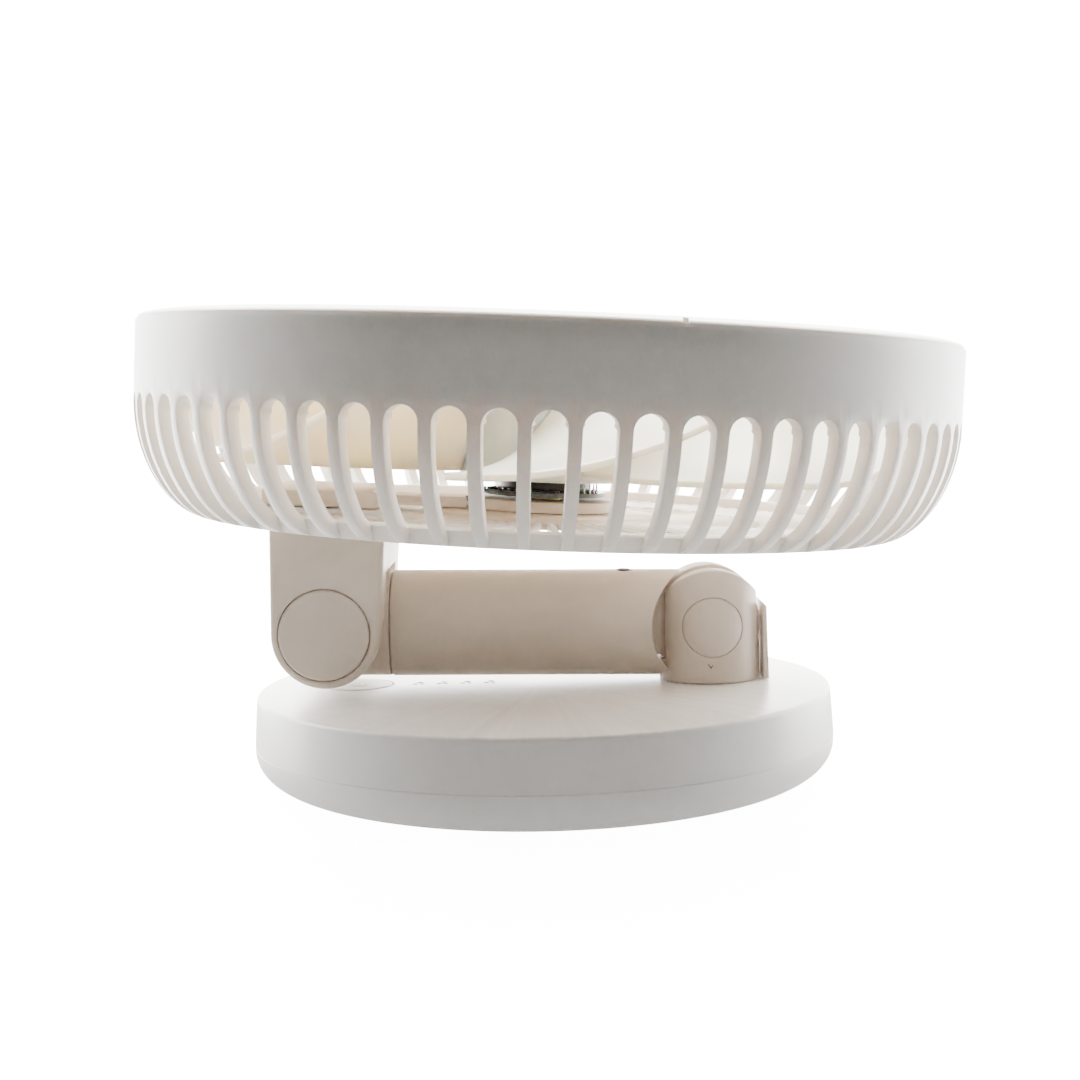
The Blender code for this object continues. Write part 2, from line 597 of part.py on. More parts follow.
def motor(head):
    """Mount drum, bearing tube, circuit board and stator, stacked on the cage's hub disc."""
    drum_top, drum_foot = -0.0235, HUB_DISC_TOP + GAP
    turned("motor_mount",
           [(0.0047, drum_top), (0.0171, drum_top), (0.0175, drum_top - 0.0004), (0.0175, drum_foot),
            (0.0160, drum_foot), (0.0160, drum_top - 0.0013), (0.0047, drum_top - 0.0013)],
           BEIGE, 32, closed=True, parent=head)
    ring("bearing_tube", 0.0033, 0.0044, drum_foot, -0.0030, BRASS, 20, parent=head)
    ring("bearing_lower", 0.0016, 0.0030, -0.0240, -0.0213, BRASS, 16, parent=head)
    ring("bearing_upper", 0.0016, 0.0030, -0.0060, -0.0033, BRASS, 16, parent=head)
    ring("motor_board", 0.0047, 0.0159, -0.0226, -0.0212, BOARD, 40, parent=head)
    ring("stator_insulator", 0.0047, 0.0115, -0.0209, -0.0166, BLACK, 32, parent=head)
    ring("winding_lower", 0.0060, 0.0145, -0.0163, -0.0138, COPPER, 27, parent=head)
    ring("winding_upper", 0.0060, 0.0145, -0.0062, -0.0040, COPPER, 27, parent=head)
    tooth, gap = math.radians(28), math.radians(12)
    star = []
    for number in range(9):
        middle = number * (tooth + gap)
        for radius, angle in ((0.0164, -tooth / 2), (0.0164, tooth / 2), (0.0150, tooth / 2),
                              (0.0070, tooth / 3), (0.0070, tooth / 2 + gap / 2)):
            star.append((radius * math.cos(middle + angle), radius * math.sin(middle + angle)))
    core = plate("stator_core", [star], 0.0035, STEEL, lift=-0.0100, parent=head)
    cut(core, rod("core_bore", 0.0047, -0.02, 0.0, sides=20, parent=head))


def wire_way(head):
    """The covered channel from the neck to the motor, and the motor's leads."""
    def tee(inset):
        wide, narrow, far, step, near = 0.0240, 0.0070, -0.0690, -0.0405, -0.0196
        return [(far + inset, -wide + inset), (step - inset, -wide + inset), (step - inset, -narrow + inset),
                (near - inset, -narrow + inset), (near - inset, narrow - inset), (step - inset, narrow - inset),
                (step - inset, wide - inset), (far + inset, wide - inset)]
    low, high = HUB_DISC_TOP + GAP, -0.0224
    cover = plate("wire_cover", [tee(0.0)], (high - low) / 2, BEIGE, lift=(high + low) / 2, parent=head)
    cut(cover,
        plate("wire_cover_inside", [tee(0.0014)], 0.002, lift=low + 0.0004, parent=head),
        rod("lead_hole", 0.0013, -0.024, -0.018, sides=12, parent=head, at=(0, -0.003, -0.0247),
            turn=LENGTHWISE))

    curve = bpy.data.curves.new("motor_leads", "CURVE")
    curve.dimensions = "3D"
    curve.bevel_depth = 0.0008
    curve.bevel_resolution = 2
    curve.use_fill_caps = True
    spline = curve.splines.new("POLY")
    drop = arc((-0.0164, -0.0233), 0.0022, 90, 180, 5)
    turn_in = arc((-0.0205, -0.0228), 0.0019, 0, -90, 5)
    route = [(-0.01615, drop[0][1])] + drop + turn_in[1:] + [(-0.0235, turn_in[-1][1])]
    spline.points.add(len(route) - 1)
    for point, (x, z) in zip(spline.points, route):
        point.co = (x, -0.003, z, 1.0)
    drawn = bpy.data.objects.new("motor_leads_route", curve)
    CUTTERS.objects.link(drawn)
    meshed(drawn, "motor_leads", BLACK, parent=head)


def blade_sheet():
    """The middle surfaces of all the blades: wide, swept and pitched, low edge first."""
    shape = bmesh.new()
    stations, chords = 4, 5
    root = 0.0212
    for number in range(BLADE_COUNT):
        start = BLADE_START + 2 * math.pi * number / BLADE_COUNT
        rows = []
        for i in range(stations):
            out = i / (stations - 1)
            radius = root + (BLADE_TIP_RADIUS - root) * out
            span = math.radians(38 + 8 * math.sin(math.pi * out) + 4 * out)
            low = -0.0166 + 0.0020 * out ** 2
            high = 0.0038 + 0.0030 * out
            row = []
            for j in range(chords):
                along = j / (chords - 1)
                angle = start + BLADE_SWEEP * out + span * (along - 0.5)
                height = low + (high - low) * along ** (1 + out)
                point = (radius * math.cos(angle), radius * math.sin(angle), height)
                row.append(shape.verts.new(point))
            rows.append(row)
        for near, far in zip(rows, rows[1:]):
            for j in range(chords - 1):
                shape.faces.new((near[j], far[j], far[j + 1], near[j + 1]))
    mesh = bpy.data.meshes.new("blade_sheet")
    shape.to_mesh(mesh)
    shape.free()
    return mesh


def rotor(spin):
    """Hub and blades in one, with the magnet ring and the shaft that turn with them."""
    blades = add("blades", blade_sheet(), parent=spin)
    thick = blades.modifiers.new("thickness", "SOLIDIFY")
    thick.thickness = 0.0016
    thick.offset = 0.0
    hub = turned("fan_rotor",
                 [(0.0, 0.0080), (0.0080, 0.0078), (0.0160, 0.0065), (0.0205, 0.0040),
                  (ROTOR_HUB_RADIUS, 0.0010), (ROTOR_HUB_RADIUS, ROTOR_BOTTOM), (0.0199, ROTOR_BOTTOM),
                  (0.0199, 0.0030), (0.0036, 0.0030), (0.0036, -0.0020), (0.0016, -0.0020),
                  (0.0016, 0.0060), (0.0, 0.0060)],
                 BLADE, 35, parent=spin)
    join(hub, blades)
    ring("magnet_ring", 0.0170, 0.0196, -0.0155, -0.0035, FERRITE, 36, parent=spin)
    rod("motor_shaft", 0.0013, -0.0258, 0.0057, STEEL, 16, parent=spin)


# ---------------------------------------------------------------- the fan

base_covers()
base_inside()
power_button()
pedestal()
arm_pieces(frame("arm_axis", HINGE_X, HINGE_Z, ARM_SLOPE))
neck_pieces(frame("neck_axis", NECK_X, NECK_Z, ARM_SLOPE))
HEAD = frame("head_centre", HEAD_X, HEAD_Z, HEAD_TILT)
cage_rim(HEAD)
cage_base(HEAD)
front_grille(HEAD)
motor(HEAD)
wire_way(HEAD)
rotor(frame("spin_axis", HEAD_X, HEAD_Z, HEAD_TILT))
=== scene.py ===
"""Foldable desk fan: its finished pieces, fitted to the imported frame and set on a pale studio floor.

Metres, +Z up. Sizes of the shells come from the frame's nodes and joints, so each piece lands on
the solid it stands for. The file is laid out as an add-on and run as a script.
"""

import json
import math

import bmesh
import bpy
from bpy.props import FloatProperty, FloatVectorProperty, IntProperty, PointerProperty
from mathutils import Matrix, Vector


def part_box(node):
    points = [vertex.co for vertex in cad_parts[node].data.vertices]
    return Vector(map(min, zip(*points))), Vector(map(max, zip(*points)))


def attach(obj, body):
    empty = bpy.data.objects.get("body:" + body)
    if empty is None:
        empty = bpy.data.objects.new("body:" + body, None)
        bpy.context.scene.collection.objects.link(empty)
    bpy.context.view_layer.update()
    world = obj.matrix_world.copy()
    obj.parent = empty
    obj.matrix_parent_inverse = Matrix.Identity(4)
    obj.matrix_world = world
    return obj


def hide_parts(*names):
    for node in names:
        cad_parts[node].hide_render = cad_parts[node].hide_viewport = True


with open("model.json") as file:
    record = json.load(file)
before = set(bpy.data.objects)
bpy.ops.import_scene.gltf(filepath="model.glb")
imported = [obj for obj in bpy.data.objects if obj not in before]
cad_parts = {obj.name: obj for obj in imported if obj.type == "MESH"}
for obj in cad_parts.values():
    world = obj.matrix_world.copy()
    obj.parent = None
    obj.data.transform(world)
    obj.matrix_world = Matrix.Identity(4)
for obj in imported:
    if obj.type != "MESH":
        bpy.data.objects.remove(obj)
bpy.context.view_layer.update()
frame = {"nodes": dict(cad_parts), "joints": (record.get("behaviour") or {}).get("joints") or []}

bl_info = {
    "name": "Foldable Desk Fan",
    "version": (1, 0, 0),
    "blender": (4, 5, 0),
    "location": "View3D > Sidebar > Desk Fan",
    "description": "Builds the shells, cage, blades, motor and controls of a foldable desk fan",
    "category": "Object",
}

# ---------------------------------------------------------------- places taken from the frame


def joint(name):
    """One of the part's joints."""
    return next(j for j in frame["joints"] if j["name"] == name)


def middle(node, axis):
    """The middle of a node's box along one axis."""
    low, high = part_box(node)
    return (low[axis] + high[axis]) / 2


def half_width(node, axis):
    """Half the width of a node's box along one axis."""
    low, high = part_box(node)
    return (high[axis] - low[axis]) / 2


X, Z = 0, 2


ARM_PIVOT = Vector(joint("arm_hinge")["pos_m"])
NECK_PIVOT = Vector(joint("head_hinge")["pos_m"])
HEAD_CENTRE = Vector(joint("rotor_spin")["pos_m"])
SPIN_AXIS = Vector(joint("rotor_spin")["axis"]).normalized()
HEAD_TILT = math.atan2(SPIN_AXIS.x, SPIN_AXIS.z)
ARM_SPAN = (NECK_PIVOT - ARM_PIVOT).length
ARM_SLOPE = math.atan2(NECK_PIVOT.z - ARM_PIVOT.z, ARM_PIVOT.x - NECK_PIVOT.x)

HEAD = Matrix.Translation(HEAD_CENTRE) @ Matrix.Rotation(HEAD_TILT, 4, "Y")
ARM = Matrix.Translation(ARM_PIVOT) @ Matrix.Rotation(ARM_SLOPE, 4, "Y")
NECK = Matrix.Translation(NECK_PIVOT) @ Matrix.Rotation(ARM_SLOPE, 4, "Y")
PEDESTAL = Matrix.Translation(ARM_PIVOT)
SIDE_ON = Matrix.Rotation(math.pi / 2, 4, "X")
LENGTHWISE = Matrix.Rotation(math.pi / 2, 4, "Y")

BASE_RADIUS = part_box("base_bottom_cover")[1].x
BASE_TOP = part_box("base_top_cover")[1].z
BASE_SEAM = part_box("base_bottom_cover")[1].z + 0.0003
BASE_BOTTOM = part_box("base_bottom_cover")[0].z
PAD_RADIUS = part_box("foot_pad")[1].x
BUTTON_X = middle("power_button", X)
INDICATORS_X = [middle(f"indicator_window_{i}", X) for i in (1, 2, 3, 4)]
COLUMN_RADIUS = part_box("pedestal_column")[1].y
COLUMN_X = middle("pedestal_screw_front", X)
COLUMN_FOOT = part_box("pedestal_column")[0].z
DOME_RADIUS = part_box("pedestal_column")[1].z - ARM_PIVOT.z
HUB_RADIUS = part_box("arm_hinge_tongue")[1].z - ARM_PIVOT.z
ARM_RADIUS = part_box("arm_tube")[1].y
REAR_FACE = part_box("pedestal_rear_cover")[1].x
BRACKET_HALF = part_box("neck_bracket")[1].y
NECK_CAP_RADIUS = half_width("neck_cap_front", X)
PEDESTAL_CAP_RADIUS = half_width("pedestal_cap_front", Z)
HEAD_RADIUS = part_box("cage_rim")[1].y + 0.00012
ROTOR_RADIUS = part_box("fan_rotor")[1].y

# ---------------------------------------------------------------- sizes and colours to change


class FanSettings(bpy.types.PropertyGroup):
    """Sizes and colours of the finished pieces."""
    wall_slots: IntProperty(name="Wall Slots", description="Slots round the cage wall", default=64, min=12)
    slot_angle: FloatProperty(name="Slot Angle", description="Half angle of one wall slot",
                              default=0.0354, subtype="ANGLE")
    wall_thickness: FloatProperty(name="Wall", description="Thickness of the cage wall and its ribs",
                                  default=0.0031, unit="LENGTH")
    floor_spokes: IntProperty(name="Floor Spokes", description="Long spokes in the cage floor", default=64)
    grille_inner: IntProperty(name="Inner Grille Ribs", description="Ribs near the cap", default=36)
    grille_outer: IntProperty(name="Outer Grille Ribs", description="Ribs near the rim", default=72)
    grille_sweep: FloatProperty(name="Grille Sweep", description="How far a grille rib turns as it runs out",
                                default=0.9, subtype="ANGLE")
    blades: IntProperty(name="Blades", description="Blades on the rotor", default=7, min=3)
    blade_thickness: FloatProperty(name="Blade Thickness", description="Thickness of a blade",
                                   default=0.0016, unit="LENGTH")
    edge_round: FloatProperty(name="Edge Round", description="Rounding of moulded edges",
                              default=0.0007, unit="LENGTH")
    shell_colour: FloatVectorProperty(name="Shell Colour", description="Colour of the outer shells",
                                      default=(0.83, 0.79, 0.74), subtype="COLOR", min=0, max=1)
    base_colour: FloatVectorProperty(name="Base Colour", description="Colour of the base's side",
                                     default=(0.79, 0.765, 0.735), subtype="COLOR", min=0, max=1)
    arm_colour: FloatVectorProperty(name="Arm Colour", description="Colour of the arm and hinges",
                                    default=(0.70, 0.61, 0.52), subtype="COLOR", min=0, max=1)
    blade_colour: FloatVectorProperty(name="Blade Colour", description="Colour of the rotor",
                                      default=(0.97, 0.86, 0.72), subtype="COLOR", min=0, max=1)
    # On the hub plate this beige is painted shade from the rotor hub above.
    inside_and_hub_shade_colour: FloatVectorProperty(name="Inside Colour",
                                      description="Colour of the motor mount, hub plate and wire cover",
                                      default=(0.76, 0.665, 0.55), subtype="COLOR", min=0, max=1)


def settings():
    """The sizes and colours held by the scene."""
    return bpy.context.scene.desk_fan


# ---------------------------------------------------------------- shapes

WORK = bpy.data.collections.new("work")
bpy.context.scene.collection.children.link(WORK)


def arc(centre, radius, start, end, steps):
    """Points on a circle between two angles in degrees."""
    turns = [math.radians(start + (end - start) * i / steps) for i in range(steps + 1)]
    return [(centre[0] + radius * math.cos(a), centre[1] + radius * math.sin(a)) for a in turns]


def to_mesh(shape, name="shape", fix_normals=True):
    """Closes a bmesh into a mesh, its doubles merged and its faces pointing out."""
    bmesh.ops.remove_doubles(shape, verts=shape.verts, dist=0.000002)
    if fix_normals:
        bmesh.ops.recalc_face_normals(shape, faces=shape.faces)
    mesh = bpy.data.meshes.new(name)
    shape.to_mesh(mesh)
    shape.free()
    return mesh


def lathe(profile, steps=96, closed=False):
    """A turned solid: (radius, height) points spun about Z."""
    shape = bmesh.new()
    verts = [shape.verts.new((r, 0.0, z)) for r, z in profile]
    edges = [shape.edges.new(pair) for pair in zip(verts, verts[1:])]
    if closed:
        edges.append(shape.edges.new((verts[-1], verts[0])))
    bmesh.ops.spin(shape, geom=verts + edges, cent=(0, 0, 0), axis=(0, 0, 1), angle=2 * math.pi,
                   steps=steps, use_merge=True)
    return to_mesh(shape)


def prism(outline, low, high):
    """A flat outline in XY, raised from low to high."""
    shape = bmesh.new()
    face = shape.faces.new([shape.verts.new((x, y, low)) for x, y in outline])
    raised = bmesh.ops.extrude_face_region(shape, geom=[face])["geom"]
    bmesh.ops.translate(shape, vec=(0, 0, high - low),
                        verts=[v for v in raised if isinstance(v, bmesh.types.BMVert)])
    return to_mesh(shape)


def box(low, high):
    """A block between two opposite corners."""
    outline = [(low[0], low[1]), (high[0], low[1]), (high[0], high[1]), (low[0], high[1])]
    return prism(outline, low[2], high[2])


def cylinder(radius, low, high, steps=64):
    return lathe([(0, high), (radius, high), (radius, low), (0, low)], steps)


def rounded_outline(width, height, radius, steps=6):
    """A rectangle about the origin with round corners."""
    x, y = width / 2 - radius, height / 2 - radius
    corners = ((x, y, 0), (-x, y, 90), (-x, -y, 180), (x, -y, 270))
    points = []
    for cx, cy, start in corners:
        points += arc((cx, cy), radius, start, start + 90, steps)
    return points


def moved(mesh, *matrices):
    """The mesh, taken through the matrices from the first to the last."""
    for matrix in matrices:
        mesh.transform(matrix)
    return mesh


def merged(*meshes):
    """Several meshes in one, kept as separate bodies."""
    shape = bmesh.new()
    for mesh in meshes:
        shape.from_mesh(mesh)
    whole = bpy.data.meshes.new("whole")
    shape.to_mesh(whole)
    shape.free()
    return whole


def held(mesh):
    """A working object for modifiers to act on."""
    worker = bpy.data.objects.new("worker", mesh)
    WORK.objects.link(worker)
    return worker


def baked(worker):
    """The worker's mesh with its modifiers applied; the worker goes."""
    bpy.context.view_layer.update()
    seen = worker.evaluated_get(bpy.context.evaluated_depsgraph_get())
    mesh = bpy.data.meshes.new_from_object(seen)
    bpy.data.objects.remove(worker, do_unlink=True)
    return mesh


def combined(mesh, operation, *tools):
    """The mesh after a Boolean with each tool in turn."""
    worker = held(mesh)
    helpers = [held(tool) for tool in tools]
    for helper in helpers:
        change = worker.modifiers.new("change", "BOOLEAN")
        change.operation = operation
        change.solver = "EXACT"
        change.object = helper
    result = baked(worker)
    for helper in helpers:
        bpy.data.objects.remove(helper, do_unlink=True)
    return result


def cut(mesh, *tools):
    """The mesh without what the tools cover."""
    return combined(mesh, "DIFFERENCE", *tools)


def join(mesh, *tools):
    """The mesh and the tools as one solid."""
    return combined(mesh, "UNION", *tools)


def keep(mesh, *tools):
    """Only what lies inside every tool."""
    return combined(mesh, "INTERSECT", *tools)


def round_edges(worker, width, segments=2, angle=50):
    """Adds a bevel on the edges that are sharper than the angle."""
    rounding = worker.modifiers.new("round", "BEVEL")
    rounding.width = width
    rounding.segments = segments
    rounding.limit_method = "ANGLE"
    rounding.angle_limit = math.radians(angle)
    return rounding


def softened(mesh, width, segments=2, angle=35):
    """The mesh, welded and with its sharp edges rounded."""
    worker = held(mesh)
    weld = worker.modifiers.new("weld", "WELD")
    weld.merge_threshold = 0.000004
    round_edges(worker, width, segments, angle).miter_outer = "MITER_ARC"
    return baked(worker)


def stepped(steps, sides=64):
    """A cutter along Z, alike at both ends: (radius, half length) from the narrowest out."""
    profile = []
    inner = 0.0
    for radius, reach in steps:
        if inner:
            profile = [(radius, reach), (radius, inner)] + profile + [(radius, -inner), (radius, -reach)]
        else:
            profile = [(radius, reach), (radius, -reach)]
        inner = reach
    return lathe([(0, inner)] + profile + [(0, -inner)], sides)


def tube(points, radius, sides=3):
    """A round wire through the points, capped."""
    curve = bpy.data.curves.new("wire", "CURVE")
    curve.dimensions = "3D"
    curve.bevel_depth = radius
    curve.bevel_resolution = sides
    curve.use_fill_caps = True
    spline = curve.splines.new("NURBS")
    spline.points.add(len(points) - 1)
    for point, place in zip(spline.points, points):
        point.co = (*place, 1.0)
    spline.use_endpoint_u = True
    spline.order_u = 3
    spline.resolution_u = 6
    return baked(held(curve))


def swept_bar(line, width, depth, crown=0.0):
    """A bar along a line in XY and Z: width across, depth down from the line, a crowned top."""
    shape = bmesh.new()
    rows = []
    for i, point in enumerate(line):
        before, after = Vector(line[max(i - 1, 0)]), Vector(line[min(i + 1, len(line) - 1)])
        along = (after - before).normalized()
        across = Vector((-along.y, along.x, 0.0)).normalized() * width / 2
        here = Vector(point)
        down = Vector((0, 0, -depth))
        top = Vector((0, 0, crown))
        section = (here + across + down, here + across, here + across * 0.5 + top, here - across * 0.5 + top,
                   here - across, here - across + down)
        rows.append([shape.verts.new(p) for p in section])
    for near, far in zip(rows, rows[1:]):
        for j in range(6):
            k = (j + 1) % 6
            shape.faces.new((near[j], near[k], far[k], far[j]))
    shape.faces.new(rows[0][::-1])
    shape.faces.new(rows[-1])
    return to_mesh(shape)


# ---------------------------------------------------------------- trees for what repeats


def new_tree(name, inputs):
    """A tree with geometry in and out, and the named inputs."""
    tree = bpy.data.node_groups.new(name, "GeometryNodeTree")
    tree.interface.new_socket("Geometry", in_out="INPUT", socket_type="NodeSocketGeometry")
    for label, kind in inputs:
        tree.interface.new_socket(label, in_out="INPUT", socket_type=kind)
    tree.interface.new_socket("Geometry", in_out="OUTPUT", socket_type="NodeSocketGeometry")
    return tree


def feed(tree, socket, value):
    """Links a socket to another one, or gives it a plain value."""
    if isinstance(value, bpy.types.NodeSocket):
        tree.links.new(value, socket)
    else:
        socket.default_value = value


def math_node(tree, operation, first, second=0.0):
    node = tree.nodes.new("ShaderNodeMath")
    node.operation = operation
    feed(tree, node.inputs[0], first)
    feed(tree, node.inputs[1], second)
    return node.outputs[0]


def copies_on_points(tree, given, points, angle):
    """Puts the tree's geometry on each point, turned about Z by the angle; gives the node that does it."""
    spread = tree.nodes.new("GeometryNodeInstanceOnPoints")
    turn = tree.nodes.new("ShaderNodeCombineXYZ")
    rotation = tree.nodes.new("FunctionNodeEulerToRotation")
    link = tree.links.new
    link(given["Count"], points.inputs["Count"])
    link(points.outputs[0], spread.inputs["Points"])
    link(given["Geometry"], spread.inputs["Instance"])
    link(angle, turn.inputs["Z"])
    link(turn.outputs[0], rotation.inputs[0])
    link(rotation.outputs[0], spread.inputs["Rotation"])
    return spread


def made_real(tree, copies):
    """The copies as plain geometry."""
    real = tree.nodes.new("GeometryNodeRealizeInstances")
    tree.links.new(copies.outputs[0], real.inputs[0])
    return real.outputs[0]


def paint_and_send_out(tree, given, geometry):
    """Gives the geometry its finish and makes it the tree's result."""
    paint = tree.nodes.new("GeometryNodeSetMaterial")
    result = tree.nodes.new("NodeGroupOutput")
    tree.links.new(geometry, paint.inputs["Geometry"])
    tree.links.new(given["Finish"], paint.inputs["Material"])
    tree.links.new(paint.outputs[0], result.inputs[0])


def ring_tree():
    """Copies of one piece turned round Z, welded where they meet."""
    tree = new_tree("pieces_in_a_ring", (("Count", "NodeSocketInt"), ("Start Angle", "NodeSocketFloat"),
                                         ("Weld", "NodeSocketFloat"), ("Finish", "NodeSocketMaterial")))
    given = tree.nodes.new("NodeGroupInput").outputs
    number = tree.nodes.new("GeometryNodeInputIndex").outputs[0]
    pitch = math_node(tree, "DIVIDE", 2 * math.pi, given["Count"])
    angle = math_node(tree, "ADD", math_node(tree, "MULTIPLY", number, pitch), given["Start Angle"])
    copies = copies_on_points(tree, given, tree.nodes.new("GeometryNodePoints"), angle)
    weld = tree.nodes.new("GeometryNodeMergeByDistance")
    tree.links.new(made_real(tree, copies), weld.inputs["Geometry"])
    tree.links.new(given["Weld"], weld.inputs["Distance"])
    paint_and_send_out(tree, given, weld.outputs[0])
    return tree


def scatter_tree():
    """Small parts spread over a flat ring, with sizes and turns from a fixed seed."""
    tree = new_tree("parts_on_a_board", (("Count", "NodeSocketInt"), ("Inner", "NodeSocketFloat"),
                                         ("Outer", "NodeSocketFloat"), ("Height", "NodeSocketFloat"),
                                         ("Seed", "NodeSocketInt"), ("Finish", "NodeSocketMaterial")))
    given = tree.nodes.new("NodeGroupInput").outputs
    number = tree.nodes.new("GeometryNodeInputIndex").outputs[0]
    link = tree.links.new

    def chance(low, high, offset):
        """A different number for each part, between low and high."""
        node = tree.nodes.new("FunctionNodeRandomValue")
        feed(tree, node.inputs[2], low)
        feed(tree, node.inputs[3], high)
        link(number, node.inputs["ID"])
        link(math_node(tree, "ADD", given["Seed"], offset), node.inputs["Seed"])
        return node.outputs[1]

    radius = chance(given["Inner"], given["Outer"], 0)
    angle = chance(0.0, 2 * math.pi, 1)
    place = tree.nodes.new("ShaderNodeCombineXYZ")
    link(math_node(tree, "MULTIPLY", radius, math_node(tree, "COSINE", angle)), place.inputs[0])
    link(math_node(tree, "MULTIPLY", radius, math_node(tree, "SINE", angle)), place.inputs[1])
    link(given["Height"], place.inputs[2])
    size = tree.nodes.new("ShaderNodeCombineXYZ")
    for i, (low, high) in enumerate(((0.6, 2.2), (0.5, 1.3), (0.5, 1.1))):
        link(chance(low, high, 2 + i), size.inputs[i])
    points = tree.nodes.new("GeometryNodePoints")
    link(place.outputs[0], points.inputs["Position"])
    copies = copies_on_points(tree, given, points, chance(0.0, 6.28, 7))
    link(size.outputs[0], copies.inputs["Scale"])
    paint_and_send_out(tree, given, made_real(tree, copies))
    return tree


TREES = {}


def repeated(mesh, tree_name, wall=0.0, rounding=0.0, **values):
    """The mesh put through one of the trees, then given a wall and round edges, as plain mesh."""
    if tree_name not in TREES:
        TREES[tree_name] = {"ring": ring_tree, "scatter": scatter_tree}[tree_name]()
    tree = TREES[tree_name]
    sockets = {s.name: s.identifier for s in tree.interface.items_tree if s.in_out == "INPUT"}
    worker = held(mesh)
    grow = worker.modifiers.new("repeat", "NODES")
    grow.node_group = tree
    for label, value in values.items():
        grow[sockets[label.replace("_", " ").title()]] = value
    if wall:
        shell = worker.modifiers.new("wall", "SOLIDIFY")
        shell.thickness = wall
        shell.offset = -1.0
        shell.use_even_offset = True
    if rounding:
        round_edges(worker, rounding)
    return baked(worker)


# ---------------------------------------------------------------- finishes


def shader_of(name, roughness, metallic=0.0, **sockets):
    """A material with its Principled shader; values that are the same all over go on its sockets."""
    material = bpy.data.materials.new(name)
    material.use_nodes = True
    shader = material.node_tree.nodes["Principled BSDF"]
    shader.inputs["Roughness"].default_value = roughness
    shader.inputs["Metallic"].default_value = metallic
    for label, value in sockets.items():
        shader.inputs[label.replace("_", " ")].default_value = value
    return material, shader


def noise(tree, coordinates, scale, detail=2.0, roughness=0.5):
    """Cloudy noise between 0 and 1."""
    node = tree.nodes.new("ShaderNodeTexNoise")
    node.inputs["Scale"].default_value = scale
    node.inputs["Detail"].default_value = detail
    node.inputs["Roughness"].default_value = roughness
    tree.links.new(coordinates, node.inputs["Vector"])
    return node.outputs["Fac"]


def ramp(tree, value, low, high, start=0.3, end=0.7):
    """Maps a value between two colours."""
    node = tree.nodes.new("ShaderNodeValToRGB")
    for element, colour, place in zip(node.color_ramp.elements, (low, high), (start, end)):
        element.color = (*colour, 1.0)
        element.position = place
    tree.links.new(value, node.inputs[0])
    return node.outputs[0]


def bump(tree, height, strength, distance, under=None):
    """Surface relief from a height, laid over the relief under it."""
    node = tree.nodes.new("ShaderNodeBump")
    node.inputs["Strength"].default_value = strength
    node.inputs["Distance"].default_value = distance
    tree.links.new(height, node.inputs["Height"])
    if under is not None:
        tree.links.new(under, node.inputs["Normal"])
    return node.outputs[0]


def tinted(colour, factor):
    """The colour, lighter or darker by a factor."""
    return tuple(min(1.0, c * factor) for c in colour)


def moulded(name, colour, roughness, grain=1400.0, grain_depth=0.00003, glow=0.0, **sockets):
    """Moulded plastic: spark-eroded grain, slow drifts of tone and faint handling marks."""
    material, shader = shader_of(name, roughness, **sockets)
    if glow:
        shader.inputs["Subsurface Weight"].default_value = glow
        shader.inputs["Subsurface Radius"].default_value = (1.0, 0.62, 0.40)
        shader.inputs["Subsurface Scale"].default_value = 0.006
    tree = material.node_tree
    place = tree.nodes.new("ShaderNodeTexCoord").outputs["Object"]
    drift = noise(tree, place, 22.0, 3.0)
    tree.links.new(ramp(tree, drift, tinted(colour, 0.965), tinted(colour, 1.025)),
                   shader.inputs["Base Color"])
    smudge = noise(tree, place, 60.0, 5.0, 0.65)
    spread = tree.nodes.new("ShaderNodeMapRange")
    spread.inputs["To Min"].default_value = roughness - 0.07
    spread.inputs["To Max"].default_value = roughness + 0.08
    tree.links.new(smudge, spread.inputs["Value"])
    tree.links.new(spread.outputs[0], shader.inputs["Roughness"])
    fine = bump(tree, noise(tree, place, grain, 3.0), 0.35, grain_depth)
    tree.links.new(bump(tree, noise(tree, place, 45.0), 0.05, 0.0004, fine), shader.inputs["Normal"])
    return material


def plastic_with_painted_spoke_shadows(name, side_colour, top_colour, roughness):
    """The base's top shell: a plain side, and a top face with faint painted streaks from its centre, which
    stand for the shadows and reflections of the cage's spokes above.
    """
    material = moulded(name, side_colour, roughness, grain_depth=0.00002)
    tree = material.node_tree
    shader = tree.nodes["Principled BSDF"]
    plain = shader.inputs["Base Color"].links[0].from_socket
    place = tree.nodes.new("ShaderNodeTexCoord").outputs["Object"]
    parts = tree.nodes.new("ShaderNodeSeparateXYZ")
    tree.links.new(place, parts.inputs[0])
    angle = math_node(tree, "ARCTAN2", parts.outputs[1], parts.outputs[0])
    ring = tree.nodes.new("ShaderNodeCombineXYZ")
    tree.links.new(math_node(tree, "COSINE", angle), ring.inputs[0])
    tree.links.new(math_node(tree, "SINE", angle), ring.inputs[1])
    # Painted shadows and reflections: lighter and darker streaks round the centre stand for the cage's
    # spokes overhead.
    painted_spoke_shadows = noise(tree, ring.outputs[0], 26.0, 4.0, 0.7)
    tone = ramp(tree, painted_spoke_shadows, tinted(top_colour, 0.90), tinted(top_colour, 1.05), 0.32, 0.68)
    # Only the top face gets the painted spoke shadows; the side keeps its plain colour.
    height = tree.nodes.new("ShaderNodeMapRange")
    height.inputs["From Min"].default_value = BASE_TOP - CROWN_DROP - 0.0007
    height.inputs["From Max"].default_value = BASE_TOP - CROWN_DROP - 0.0001
    tree.links.new(parts.outputs[2], height.inputs["Value"])
    blend = tree.nodes.new("ShaderNodeMix")
    blend.data_type = "RGBA"
    tree.links.new(height.outputs[0], blend.inputs["Factor"])
    tree.links.new(plain, blend.inputs["A"])
    tree.links.new(tone, blend.inputs["B"])
    colour = next(socket for socket in blend.outputs if socket.type == "RGBA")
    tree.links.new(colour, shader.inputs["Base Color"])
    return material


